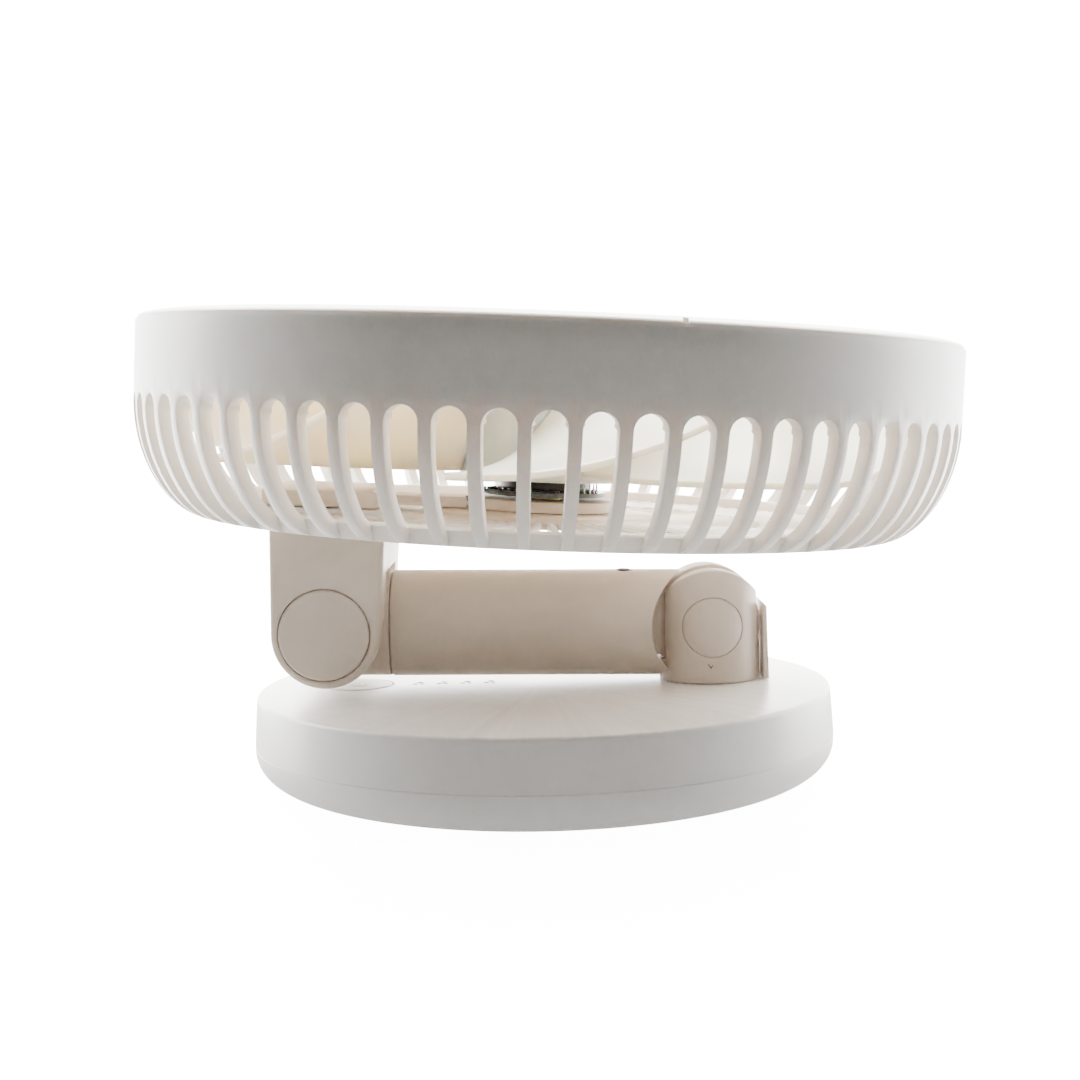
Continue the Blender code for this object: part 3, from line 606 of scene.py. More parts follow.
def metal(name, colour, roughness, scratch=260.0):
    """Bright metal with fine turning marks and patches of duller plating."""
    material, shader = shader_of(name, roughness, 1.0)
    tree = material.node_tree
    place = tree.nodes.new("ShaderNodeTexCoord").outputs["Object"]
    tree.links.new(ramp(tree, noise(tree, place, scratch, 4.0), tinted(colour, 0.85), colour),
                   shader.inputs["Base Color"])
    stretch = tree.nodes.new("ShaderNodeMapping")
    stretch.inputs["Scale"].default_value = (1.0, 1.0, 14.0)
    tree.links.new(place, stretch.inputs[0])
    tree.links.new(bump(tree, noise(tree, stretch.outputs[0], 420.0, 3.0), 0.3, 0.00003),
                   shader.inputs["Normal"])
    return material


def dark_board(name, colour):
    """Solder mask over copper tracks."""
    material, shader = shader_of(name, 0.35, Coat_Weight=0.4)
    tree = material.node_tree
    place = tree.nodes.new("ShaderNodeTexCoord").outputs["Object"]
    cells = tree.nodes.new("ShaderNodeTexVoronoi")
    cells.feature = "DISTANCE_TO_EDGE"
    cells.inputs["Scale"].default_value = 700.0
    tree.links.new(place, cells.inputs["Vector"])
    tracks = cells.outputs["Distance"]
    tree.links.new(ramp(tree, tracks, tinted(colour, 2.2), colour, 0.04, 0.10), shader.inputs["Base Color"])
    tree.links.new(bump(tree, tracks, 0.4, 0.00004), shader.inputs["Normal"])
    return material


def wound_copper(name):
    """Enamelled wire laid side by side."""
    material, shader = shader_of(name, 0.30, 0.85, Coat_Weight=0.6)
    tree = material.node_tree
    place = tree.nodes.new("ShaderNodeTexCoord").outputs["Object"]
    strands = tree.nodes.new("ShaderNodeTexWave")
    strands.inputs["Scale"].default_value = 900.0
    strands.inputs["Distortion"].default_value = 1.5
    tree.links.new(place, strands.inputs["Vector"])
    tree.links.new(ramp(tree, strands.outputs["Fac"], (0.36, 0.13, 0.05), (0.86, 0.42, 0.20)),
                   shader.inputs["Base Color"])
    tree.links.new(bump(tree, strands.outputs["Fac"], 0.5, 0.00008), shader.inputs["Normal"])
    return material


FINISHES = {}


def finish(name):
    """Each finish, made the first time that it is asked for."""
    if name not in FINISHES:
        s = settings()
        makers = {
            "shell": lambda: moulded("warm_white_shell", tuple(s.shell_colour), 0.40, glow=0.16),
            "cage": lambda: moulded("warm_white_cage", tuple(s.shell_colour), 0.36, glow=0.18),
            "base_side": lambda: moulded("pale_base_side", tuple(s.base_colour), 0.36),
            # The base top's streaks are painted shadows and reflections of the cage's spokes.
            "base_top": lambda: plastic_with_painted_spoke_shadows("warm_white_base_top", tuple(s.base_colour),
                                               tuple(s.shell_colour), 0.32),
            "arm": lambda: moulded("warm_white_arm", tuple(s.arm_colour), 0.44, glow=0.05),
            "blade": lambda: moulded("translucent_blade", tuple(s.blade_colour), 0.30, grain_depth=0.00001,
                                     glow=0.90),
            # This finish also gives the hub plate its painted shade from the rotor hub.
            "inner": lambda: moulded("beige_inner_plastic", tuple(s.inside_and_hub_shade_colour), 0.50),
            "black": lambda: moulded("black_plastic", (0.018, 0.018, 0.02), 0.38),
            "lens": lambda: moulded("tinted_lens", (0.24, 0.16, 0.10), 0.18, Coat_Weight=0.8),
            "mark": lambda: moulded("printed_mark", (0.11, 0.085, 0.07), 0.85, Specular_IOR_Level=0.05),
            "rubber": lambda: moulded("grey_rubber", (0.13, 0.13, 0.13), 0.78, 800.0, 0.00008),
            "steel": lambda: metal("plated_steel", (0.60, 0.60, 0.59), 0.30),
            "brass": lambda: metal("turned_brass", (0.78, 0.58, 0.27), 0.26),
            "laminations": lambda: metal("stacked_laminations", (0.34, 0.34, 0.35), 0.42),
            "ferrite": lambda: moulded("bonded_ferrite", (0.05, 0.05, 0.055), 0.62, 500.0, 0.00006),
            "board": lambda: dark_board("dark_circuit_board", (0.012, 0.022, 0.020)),
            "solder": lambda: metal("solder", (0.75, 0.75, 0.76), 0.22),
            "copper": lambda: wound_copper("enamelled_copper"),
            "cell": lambda: moulded("cell_wrap", (0.05, 0.26, 0.25), 0.28, Coat_Weight=0.5),
        }
        FINISHES[name] = makers[name]()
    return FINISHES[name]


def piece(name, mesh, finish_name, body, replaces=(), sharp=32):
    """Puts a finished mesh in the scene as one piece that rides on a body."""
    if not mesh.polygons:
        raise RuntimeError(f"{name} came out empty")
    mesh.name = name
    mesh.materials.clear()
    mesh.materials.append(finish(finish_name))
    for face in mesh.polygons:
        face.material_index = 0
    mesh.shade_smooth()
    mesh.set_sharp_from_angle(angle=math.radians(sharp))
    thing = bpy.data.objects.new(name, mesh)
    bpy.context.scene.collection.objects.link(thing)
    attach(thing, body)
    if replaces:
        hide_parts(*replaces)
    return thing


def repaint(finish_name, *nodes):
    """Gives its finish to each solid that is used as it is."""
    for node in nodes:
        solid = frame["nodes"][node]
        solid.data.materials.clear()
        solid.data.materials.append(finish(finish_name))


# ---------------------------------------------------------------- base

SIDE_LEAN, CROWN_DROP, BASE_WALL = 0.0008, 0.0006, 0.0021
FLAT_RADIUS, CREASE_ROUND = 0.058, 0.0011
KEY_WELL, WELL_CHAMFER = 0.0090, 0.00025
SEAM_GAP, BELLY_WIDTH, BELLY_POWER = 0.00006, 0.019, 2.4
BASE_STEPS = 160


def base_side(z):
    """Radius of the top cover's side, which leans out slightly towards the seam."""
    crease_radius, crease_z = BASE_RADIUS - SIDE_LEAN, BASE_TOP - CROWN_DROP
    share = (crease_z - z) / (crease_z - BASE_SEAM)
    return crease_radius + (BASE_RADIUS - crease_radius) * share


def build_base_top():
    """The top cover: a face that falls a little to a soft crease, a leaning side, a well for the key."""
    round_start = BASE_RADIUS - SIDE_LEAN - CREASE_ROUND
    crown = []
    for i in range(6):
        out = i / 5
        crown.append((FLAT_RADIUS + (round_start - FLAT_RADIUS) * out, BASE_TOP - CROWN_DROP * out ** 2))
    crease = arc((round_start, BASE_TOP - CROWN_DROP - CREASE_ROUND), CREASE_ROUND, 90, 3, 6)
    side = [(base_side(z), z) for z in (0.0200, 0.0160)]
    foot = [(BASE_RADIUS, BASE_SEAM + 0.0001), (BASE_RADIUS - 0.0001, BASE_SEAM)]
    inner, ceiling = BASE_RADIUS - BASE_WALL, BASE_TOP - BASE_WALL
    inside = [(inner, BASE_SEAM), (inner - 0.0005, ceiling - 0.002), (inner - 0.003, ceiling), (0, ceiling)]
    cover = lathe([(0, BASE_TOP)] + crown + crease[1:] + side + foot + inside, BASE_STEPS)
    above, below = BASE_TOP + 0.005, BASE_TOP - 0.005
    well = lathe([(0, above), (KEY_WELL + WELL_CHAMFER, above), (KEY_WELL + WELL_CHAMFER, BASE_TOP),
                  (KEY_WELL, BASE_TOP - WELL_CHAMFER), (KEY_WELL, below), (0, below)], 64)
    well = moved(well, Matrix.Translation((BUTTON_X, 0, 0)))
    piece("base_top_shell", cut(cover, well), "base_top", "base", ["base_top_cover"])


class FAN_OT_base_top(bpy.types.Operator):
    """Builds the base's top cover"""
    bl_idname = "fan.base_top"
    bl_label = "Base Top"

    def execute(self, context):
        build_base_top()
        return {"FINISHED"}


def build_base_bottom():
    """The lower shell with its bellied side, the ribbed foot pad and the charging socket."""
    top = BASE_SEAM - SEAM_GAP
    belly = []
    for i in range(21):
        turn = math.pi / 2 * i / 20
        belly.append((BASE_RADIUS - BELLY_WIDTH * (1 - math.cos(turn) ** (2 / BELLY_POWER)),
                      top - (top - BASE_BOTTOM) * math.sin(turn) ** (2 / BELLY_POWER)))
    belly[0] = (BASE_RADIUS - 0.0001, top)
    belly.insert(1, (BASE_RADIUS, top - 0.0001))
    floor_top, recess_top = 0.0043, 0.0023
    recess = PAD_RADIUS + 0.0004
    inside = [(0, floor_top), (0.052, floor_top), (0.064, 0.0058), (0.0705, 0.0085),
              (BASE_RADIUS - 0.0022, top)]
    under = [(recess + 0.0004, BASE_BOTTOM), (recess, BASE_BOTTOM + 0.0003), (recess, recess_top),
             (0, recess_top)]
    cover = lathe(inside + belly + under, BASE_STEPS)
    low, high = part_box("charging_socket")
    facing_out = (Matrix.Rotation(math.pi / 2, 4, "Z"), Matrix.Rotation(math.pi / 2, 4, "Y"),
                  Matrix.Translation((0, 0, (low.z + high.z) / 2)))
    mouth = moved(prism(rounded_outline(0.0100, 0.0042, 0.0019), 0.060, 0.080), *facing_out)
    piece("base_bottom_shell", cut(cover, mouth), "base_side", "base",
          ["base_bottom_cover"])

    rib_count, rib_pitch, rib_depth = 9, 0.005, 0.00035
    pad = [(0.0, rib_depth)]
    for i in range(rib_count):
        r = 0.006 + rib_pitch * i
        pad += [(r, rib_depth), (r + 0.0004, 0.0), (r + 0.0030, 0.0), (r + 0.0034, rib_depth)]
    pad += [(PAD_RADIUS - 0.0006, 0.0), (PAD_RADIUS, 0.0006), (PAD_RADIUS, 0.0019), (0, 0.0019)]
    piece("ribbed_foot_pad", lathe(pad[::-1]), "rubber", "base", ["foot_pad"])

    sleeve = prism(rounded_outline(0.0090, 0.0031, 0.0014), low.x, high.x)
    hollow = prism(rounded_outline(0.0084, 0.0025, 0.0011), low.x + 0.002, high.x + 0.01)
    tongue = prism(rounded_outline(0.0066, 0.0007, 0.0003), low.x + 0.0015, high.x - 0.0010)
    sleeve = moved(cut(sleeve, hollow), *facing_out)
    piece("charging_sleeve", sleeve, "steel", "base", ["charging_socket"])
    piece("charging_tongue", moved(tongue, *facing_out), "black", "base")


class FAN_OT_base_bottom(bpy.types.Operator):
    """Builds the lower shell, the foot pad and the charging socket"""
    bl_idname = "fan.base_bottom"
    bl_label = "Base Bottom"

    def execute(self, context):
        build_base_bottom()
        return {"FINISHED"}


def build_controls():
    """The round key with its generic power sign, and four inlaid level marks."""
    low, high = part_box("power_button")
    top, radius, flange = high.z, 0.0087, high.x - BUTTON_X
    dish_depth, edge_round, stem = 0.00012, 0.0005, 0.0022
    dish = [(radius * i / 8, top - dish_depth * (1 - (i / 8) ** 2)) for i in range(8)]
    edge = arc((radius - edge_round, top - edge_round), edge_round, 90, 0, 5)
    skirt = [(radius, top - 0.0026), (flange, top - 0.0026), (flange, top - 0.0038), (stem, top - 0.0038),
             (stem, low.z), (0, low.z)]
    centre = Matrix.Translation((BUTTON_X, 0, 0))
    piece("power_key", moved(lathe(dish + edge + skirt), centre), "shell", "button",
          ["power_button"])
    sign_radius, sign_wire, sign_gap = 0.0021, 0.00022, 76
    ring = arc((0, 0), sign_radius, 90 + sign_gap / 2, 450 - sign_gap / 2, 24)
    sign = tube([(x, y, 0) for x, y in ring], sign_wire)
    bar = tube([(0, 0.0006, 0), (0, 0.0016, 0), (0, 0.0027, 0)], sign_wire)
    flat = Matrix.Diagonal((1, 1, 0.4, 1))
    mark = moved(merged(sign, bar), flat, Matrix.Translation((0, 0, top - 0.00008)), centre)
    piece("power_sign", mark, "shell", "button")
    petals = ((-0.0008, -0.0011, 0.0007), (0.0009, -0.0011, 0.0006), (0.0003, 0.0012, 0.0008))
    for number, middle_x in enumerate(INDICATORS_X, 1):
        inlay = [moved(cylinder(size, BASE_TOP - 0.0004, BASE_TOP + 0.00003, 24),
                       Matrix.Translation((middle_x + x, y, 0))) for x, y, size in petals]
        piece(f"level_mark_{number}", merged(*inlay), "mark", "base",
              [f"indicator_window_{number}"])


class FAN_OT_controls(bpy.types.Operator):
    """Builds the power key and the four level marks"""
    bl_idname = "fan.controls"
    bl_label = "Controls"

    def execute(self, context):
        build_controls()
        return {"FINISHED"}


def build_base_inside():
    """Cells, boards and ballast inside the base keep their solids."""
    repaint("steel", "counterweight_ring", "base_screw_1", "base_screw_2", "base_screw_3", "base_screw_4")
    repaint("cell", "battery_cell_1", "battery_cell_2")
    repaint("board", "control_board", "charging_board")
    repaint("black", "button_switch")


class FAN_OT_base_inside(bpy.types.Operator):
    """Finishes the cells, boards, switch, screws and ballast"""
    bl_idname = "fan.base_inside"
    bl_label = "Base Inside"

    def execute(self, context):
        build_base_inside()
        return {"FINISHED"}


# ---------------------------------------------------------------- pedestal

POST_FOOT, DOME_FOOT = 0.016, 0.018
FORK_HALF, FORK_RADIUS = 0.0053, 0.0134
BACK_PLATE_X, BACK_PLATE_TOP, BACK_PLATE_HALF = 0.0561, 0.0453, 0.0076
ON_COLUMN = Matrix.Translation((COLUMN_X, 0, 0))


def build_pedestal():
    """The domed post with its fork for the arm's tongue, two plugs and the plate on its back."""
    up = ARM_PIVOT.z
    post = moved(cylinder(COLUMN_RADIUS, POST_FOOT, up + 0.0155, 96), ON_COLUMN)
    foot = DOME_FOOT - up
    dome = [(DOME_RADIUS, foot)] + arc((0, 0), DOME_RADIUS, 0, 180, 48) + [(-DOME_RADIUS, foot)]
    post = keep(post, moved(prism(dome, -0.016, 0.016), SIDE_ON, PEDESTAL))
    fork = arc((0, 0), FORK_RADIUS, 0, -139, 40)
    fork += [(-0.021, -0.0088), (-0.021, 0.020), (0.016, 0.020), (0.016, 0.0)]
    bores = stepped([(0.0033, 0.0072), (PEDESTAL_CAP_RADIUS + 0.00022, 0.02)], 96)
    post = cut(post,
               box((0.010, -0.03, 0.010), (0.080, 0.03, COLUMN_FOOT)),
               moved(prism(fork, -FORK_HALF, FORK_HALF), SIDE_ON, PEDESTAL),
               moved(bores, SIDE_ON, PEDESTAL),
               box((BACK_PLATE_X, -BACK_PLATE_HALF, 0.020), (0.070, BACK_PLATE_HALF, BACK_PLATE_TOP)))
    post = softened(post, 0.0005, 3, 30)
    piece("pedestal_post", post, "arm", "base", ["pedestal_column"])
    spot = Vector((COLUMN_X - 0.0008, -COLUMN_RADIUS + 0.00005, up - 0.0103))
    strokes = []
    for lean in (-1, 1):
        line = [spot, spot + Vector((lean * 0.0003, 0, 0.0006)),
                spot + Vector((lean * 0.0007, 0.0001, 0.0011))]
        strokes.append(tube(line, 0.00011))
    piece("post_mould_mark", merged(*strokes), "mark", "base")

    for side, name in ((-1, "front"), (1, "back")):
        face = moved(cylinder(COLUMN_RADIUS, 0.020, 0.060, 128), ON_COLUMN)
        plug = moved(cylinder(PEDESTAL_CAP_RADIUS, 0.0093, 0.0140, 96),
                     Matrix.Rotation(-side * math.pi / 2, 4, "X"), PEDESTAL)
        plug = softened(keep(plug, face), 0.00025, 2, 40)
        piece(f"pedestal_plug_{name}", plug, "arm", "base", [f"pedestal_cap_{name}"])

    inner, top, gap = BACK_PLATE_X + 0.0003, BACK_PLATE_TOP - 0.0003, 0.0006
    slope = [(inner, COLUMN_FOOT), (REAR_FACE - 0.0004, COLUMN_FOOT), (REAR_FACE - 0.0008, top - 0.0010),
             (REAR_FACE - 0.0016, top), (inner, top)]
    half = BACK_PLATE_HALF - gap
    plate = softened(moved(prism(slope, -half, half), SIDE_ON), 0.0004, 3, 40)
    piece("pedestal_back_plate", plate, "arm", "base", ["pedestal_rear_cover"])
    repaint("steel", "pedestal_hinge_pin", "pedestal_hinge_nut", "pedestal_washer_front",
            "pedestal_washer_back", "pedestal_screw_front", "pedestal_screw_back")


class FAN_OT_pedestal(bpy.types.Operator):
    """Builds the forked post, its plugs and its back plate"""
    bl_idname = "fan.pedestal"
    bl_label = "Pedestal"

    def execute(self, context):
        build_pedestal()
        return {"FINISHED"}


# ---------------------------------------------------------------- arm

SLEEVE_BORE, PLUG_RADIUS, SLEEVE_END = 0.0119, 0.0116, -ARM_SPAN + 0.0152
LENS_X = -0.0220
ARM_STEPS = 128


def build_arm_sleeve():
    """The arm's tube, scooped out round the hub and the post, with the small lens on top."""
    blank = lathe([(SLEEVE_BORE, -0.004), (ARM_RADIUS, -0.004), (ARM_RADIUS, SLEEVE_END + 0.0002),
                   (ARM_RADIUS - 0.0002, SLEEVE_END), (SLEEVE_BORE, SLEEVE_END)], ARM_STEPS, closed=True)
    blank = moved(blank, LENGTHWISE, ARM)
    at_lens = Matrix.Translation((LENS_X, 0, 0))
    scoop = moved(cylinder(HUB_RADIUS + 0.0006, -0.02, 0.02, 128), SIDE_ON, ARM)
    post_way = moved(cylinder(COLUMN_RADIUS + 0.0006, 0.0, ARM_PIVOT.z, 96), ON_COLUMN)
    hole = moved(cylinder(0.0026, 0.008, 0.020, 32), at_lens, ARM)
    sleeve = softened(cut(blank, scoop, post_way, hole), 0.0002, 2, 40)
    piece("arm_sleeve", sleeve, "arm", "arm", ["arm_tube"])
    lens = lathe([(0, 0.01392), (0.0010, 0.01388), (0.0018, 0.0137), (0.0023, 0.0133), (0.0023, 0.012),
                  (0, 0.012)], 32)
    piece("arm_lens", moved(lens, at_lens, ARM), "black", "arm", ["arm_screw_plug"])


def build_arm_tongue():
    """The tongue in the pedestal's fork: a disc whose outer part stands out round the hub."""
    tongue = moved(cylinder(0.0130, -0.0040, 0.0040, 96), SIDE_ON)
    neck = box((-0.030, -0.0039, -0.0080), (-0.002, 0.0039, 0.0080))
    plug = moved(cylinder(PLUG_RADIUS, -0.044, -0.0175, 64), LENGTHWISE)
    stand_out = prism([(0, 0)] + arc((0, 0), HUB_RADIUS, 90, 232, 66), -0.0038, 0.0038)
    tongue = join(tongue, moved(stand_out, SIDE_ON), neck, plug)
    pin_hole = moved(cylinder(0.0033, -0.02, 0.02, 32), SIDE_ON)
    post = moved(cylinder(COLUMN_RADIUS + 0.0004, 0.0, ARM_PIVOT.z - 0.0083, 96), ON_COLUMN, ARM.inverted())
    tongue = softened(cut(tongue, pin_hole, post), 0.0003, 2, 40)
    piece("arm_tongue", moved(tongue, ARM), "arm", "arm", ["arm_hinge_tongue"])


def build_arm_knuckle():
    """The round knuckle between the yoke's cheeks, flush with the sleeve, with a plug inside it."""
    shoulder, skin, tail = SLEEVE_END - 0.0003, ARM_RADIUS - 0.0001, -ARM_SPAN - 0.020
    knuckle = lathe([(0, shoulder), (ARM_RADIUS - 0.00030, shoulder), (skin, shoulder - 0.0002),
                     (skin, tail), (0, tail)], ARM_STEPS)
    knuckle = moved(knuckle, LENGTHWISE)
    reach = ARM_SPAN + SLEEVE_END + 0.004
    side = [(reach, -0.0140), (reach, 0.0140)] + arc((0, 0), 0.0134, 90, 270, 40)
    at_neck = Matrix.Translation((-ARM_SPAN, 0, 0))
    knuckle = keep(knuckle, moved(prism(side, -0.020, 0.020), SIDE_ON, at_neck))
    knuckle = join(knuckle, moved(cylinder(0.0126, -0.0135, 0.0135, 90), SIDE_ON, at_neck),
                   moved(cylinder(PLUG_RADIUS, shoulder - 0.002, -0.062, 64), LENGTHWISE))
    cheek, wide, step = 0.0129, 0.016, 0.0098
    plan = [(-0.020, -cheek), (step, -cheek), (step, -wide), (0.040, -wide), (0.040, wide), (step, wide),
            (step, cheek), (-0.020, cheek)]
    knuckle = keep(knuckle, moved(prism(plan, -0.018, 0.018), at_neck))
    knuckle = cut(knuckle, moved(cylinder(0.0038, -0.02, 0.02, 32), SIDE_ON, at_neck))
    piece("arm_knuckle", moved(softened(knuckle, 0.0003, 2, 40), ARM), "arm", "arm",
          ["arm_head_knuckle"])


class FAN_OT_arm(bpy.types.Operator):
    """Builds the arm's sleeve, lens, tongue and knuckle"""
    bl_idname = "fan.arm"
    bl_label = "Arm"

    def execute(self, context):
        build_arm_sleeve()
        build_arm_tongue()
        build_arm_knuckle()
        return {"FINISHED"}


# ---------------------------------------------------------------- neck


def build_neck():
    """The yoke that holds the head, and the round plugs over its pin."""
    tilt = HEAD_TILT - ARM_SLOPE
    into_head = HEAD.inverted() @ NECK
    cage_floor_z = -0.0298

    def top_at(x):
        return (cage_floor_z - (into_head @ Vector((x, 0, 0))).z) / math.cos(tilt)

    left, right, heel_radius, slot_half = -0.0131, 0.0153, 0.0133, 0.0142
    outline = arc((0.0002, 0.0), heel_radius, 180, 360, 48)
    outline += [(0.0140, 0.0040), (right, top_at(right)), (left, top_at(left))]
    blank = softened(moved(prism(outline, -BRACKET_HALF, BRACKET_HALF), SIDE_ON), 0.0010, 3, 60)
    bores = stepped([(0.0038, 0.0194), (0.0070, 0.0222), (NECK_CAP_RADIUS + 0.00025, 0.03)], 96)
    yoke = cut(blank,
               box((-0.040, -slot_half, -0.020), (0.040, slot_half, 0.0146)),
               box((left + 0.0025, -0.0200, 0.0180), (0.0120, 0.0200, 0.0400)),
               moved(bores, SIDE_ON))
    yoke = softened(yoke, 0.00025, 2, 50)
    piece("neck_yoke", moved(yoke, NECK), "arm", "head", ["neck_bracket"])
    outer_face, inner_face, edge_round = 0.0255, 0.0225, 0.0006
    for side, name in ((-1, "front"), (1, "back")):
        edge = arc((NECK_CAP_RADIUS - edge_round, outer_face - edge_round), edge_round, 90, 0, 5)
        plug = lathe([(0, outer_face)] + edge + [(NECK_CAP_RADIUS, inner_face), (0, inner_face)])
        plug = moved(plug, Matrix.Rotation(-side * math.pi / 2, 4, "X"), NECK)
        piece(f"neck_plug_{name}", plug, "arm", "head", [f"neck_cap_{name}"])
    repaint("steel", "neck_hinge_pin", "neck_hinge_nut", "neck_washer_front", "neck_washer_back")


class FAN_OT_neck(bpy.types.Operator):
    """Builds the yoke under the head and its plugs"""
    bl_idname = "fan.neck"
    bl_label = "Neck"

    def execute(self, context):
        build_neck()
        return {"FINISHED"}


# ---------------------------------------------------------------- cage


CAGE_BEND, CAGE_BOTTOM = -0.0020, -0.0295
CAGE_WIDTH, CAGE_POWER = 0.0175, 1.85
RIM_TOP = 0.0176
SLOT_TOP_STEPS, SLOT_SIDE_STEPS = 8, 15
FLOOR_LOW, FLOOR_TOP = -0.0294, -0.0277
SPOKE_DEPTH, SPOKE_CROWN = 0.0014, 0.0002


def wall_radius(z):
    """The cage wall's outer radius at a height in the head's frame."""
    if z >= CAGE_BEND:
        return HEAD_RADIUS
    share = min(1.0, (CAGE_BEND - z) / (CAGE_BEND - CAGE_BOTTOM))
    across = math.sqrt(max(0.0, 1 - share ** CAGE_POWER))
    return HEAD_RADIUS - CAGE_WIDTH * (1 - across ** (2 / CAGE_POWER))


def wall_panel():
    """One pitch of the cage wall: rim band, round-topped slot and half a rib each side."""
    s = settings()
    pitch = math.pi / s.wall_slots
    slot = s.slot_angle
    round_top = slot * HEAD_RADIUS
    drop = CAGE_BEND - CAGE_BOTTOM
    shape = bmesh.new()

    def vert(angle, z):
        r = wall_radius(z)
        return shape.verts.new((r * math.sin(angle), -r * math.cos(angle), z))

    start = math.asin(((CAGE_BEND + round_top) / drop) ** (CAGE_POWER / 2))
    heights = []
    for i in range(1, SLOT_SIDE_STEPS + 1):
        turn = start + (math.pi / 2 - start) * i / SLOT_SIDE_STEPS
        heights.append(CAGE_BEND - drop * math.sin(turn) ** (2 / CAGE_POWER))
    turns = [math.pi / 2 * i / SLOT_TOP_STEPS for i in range(SLOT_TOP_STEPS + 1)]
    for side in (-1, 1):
        columns = [slot * math.sin(t) for t in turns]
        lip = [vert(side * c, -round_top * (1 - math.cos(t))) for c, t in zip(columns, turns)]
        edge = columns + [pitch]
        rows = [[vert(side * c, z) for c in edge] for z in (RIM_TOP, 0.0120, 0.0060, 0.0015)]
        rows.append(lip + [vert(side * pitch, -round_top)])
        for upper, lower in zip(rows, rows[1:]):
            for j in range(len(edge) - 1):
                face = (upper[j], lower[j], lower[j + 1], upper[j + 1])
                shape.faces.new(face if side > 0 else face[::-1])
        near, far = rows[-1][-2], rows[-1][-1]
        for z in heights:
            next_near, next_far = vert(side * slot, z), vert(side * pitch, z)
            face = (near, next_near, next_far, far)
            shape.faces.new(face if side > 0 else face[::-1])
            near, far = next_near, next_far
    return to_mesh(shape, fix_normals=False)


def build_cage_wall():
    """The rim band and the ribs that curve in under it, all from one slotted panel."""
    s = settings()
    wall = repeated(wall_panel(), "ring", wall=s.wall_thickness, rounding=s.edge_round,
                    count=s.wall_slots, weld=0.00002, finish=finish("cage"))
    piece("cage_wall", moved(wall, HEAD), "cage", "head", ["cage_rim"], 60)


class FAN_OT_cage_wall(bpy.types.Operator):
    """Builds the slotted wall of the cage"""
    bl_idname = "fan.cage_wall"
    bl_label = "Cage Wall"

    def execute(self, context):
        build_cage_wall()
        return {"FINISHED"}


def build_cage_floor():
    """The floor's rings, spokes and neck seat, and the plain plate under the motor, which gets the beige
    inside colour as painted shade from the rotor hub above it.
    """
    s = settings()
    low, top = FLOOR_LOW, FLOOR_TOP
    outer_ring = lathe([(0.0846, top), (0.0854, -0.0258), (0.0858, -0.0254), (0.0886, -0.0254),
                        (0.0892, -0.0258), (0.0874, low + 0.0004), (0.0870, low), (0.0835, low),
                        (0.0835, top)], 192, closed=True)
    inner_ring = lathe([(0.0555, top), (0.0573, top), (0.0573, low), (0.0555, low)], 128, closed=True)
    plate = lathe([(0, -0.0265), (0.0280, -0.0265), (0.0290, -0.0268), (0.0292, -0.0272), (0.0300, top),
                   (0.0300, low), (0.0285, low - 0.0001), (0, low - 0.0001)], 128)
    spokes = []
    for inner, outer, width, count in ((0.0292, 0.0572, 0.0017, s.floor_spokes),
                                       (0.0560, 0.0846, 0.0020, 2 * s.floor_spokes)):
        line = [(inner, 0, top - SPOKE_CROWN), (outer, 0, top - SPOKE_CROWN)]
        spokes.append(repeated(swept_bar(line, width, SPOKE_DEPTH, SPOKE_CROWN), "ring", count=count,
                               start_angle=math.pi / s.floor_spokes, weld=0.0, finish=finish("cage")))
    seat = softened(box((-0.0700, -0.0256, low - 0.0001), (-0.0385, 0.0256, -0.0266)), 0.0004, 2, 40)
    # Painted shade: the plate belongs to the cage's white floor, but takes the beige inside colour for the
    # shade under the rotor hub.
    piece("hub_plate", moved(plate, HEAD), "inner", "head")
    floor = merged(outer_ring, inner_ring, *spokes, seat)
    piece("cage_floor", moved(floor, HEAD), "cage", "head", ["cage_base"])


class FAN_OT_cage_floor(bpy.types.Operator):
    """Builds the spoked floor of the cage and the plate in its middle"""
    bl_idname = "fan.cage_floor"
    bl_label = "Cage Floor"

    def execute(self, context):
        build_cage_floor()
        return {"FINISHED"}


def grille_rib(inner, outer, width):
    """One rib of the grille, which turns and dips a little as it runs out."""
    line = []
    for i in range(11):
        r = inner + (outer - inner) * i / 10
        turn = settings().grille_sweep * (r - 0.025) / 0.0715
        line.append((r * math.cos(turn), r * math.sin(turn), 0.0205 - 0.0010 * (r / 0.0968) ** 2))
    return swept_bar(line, width, 0.0021, 0.0003)


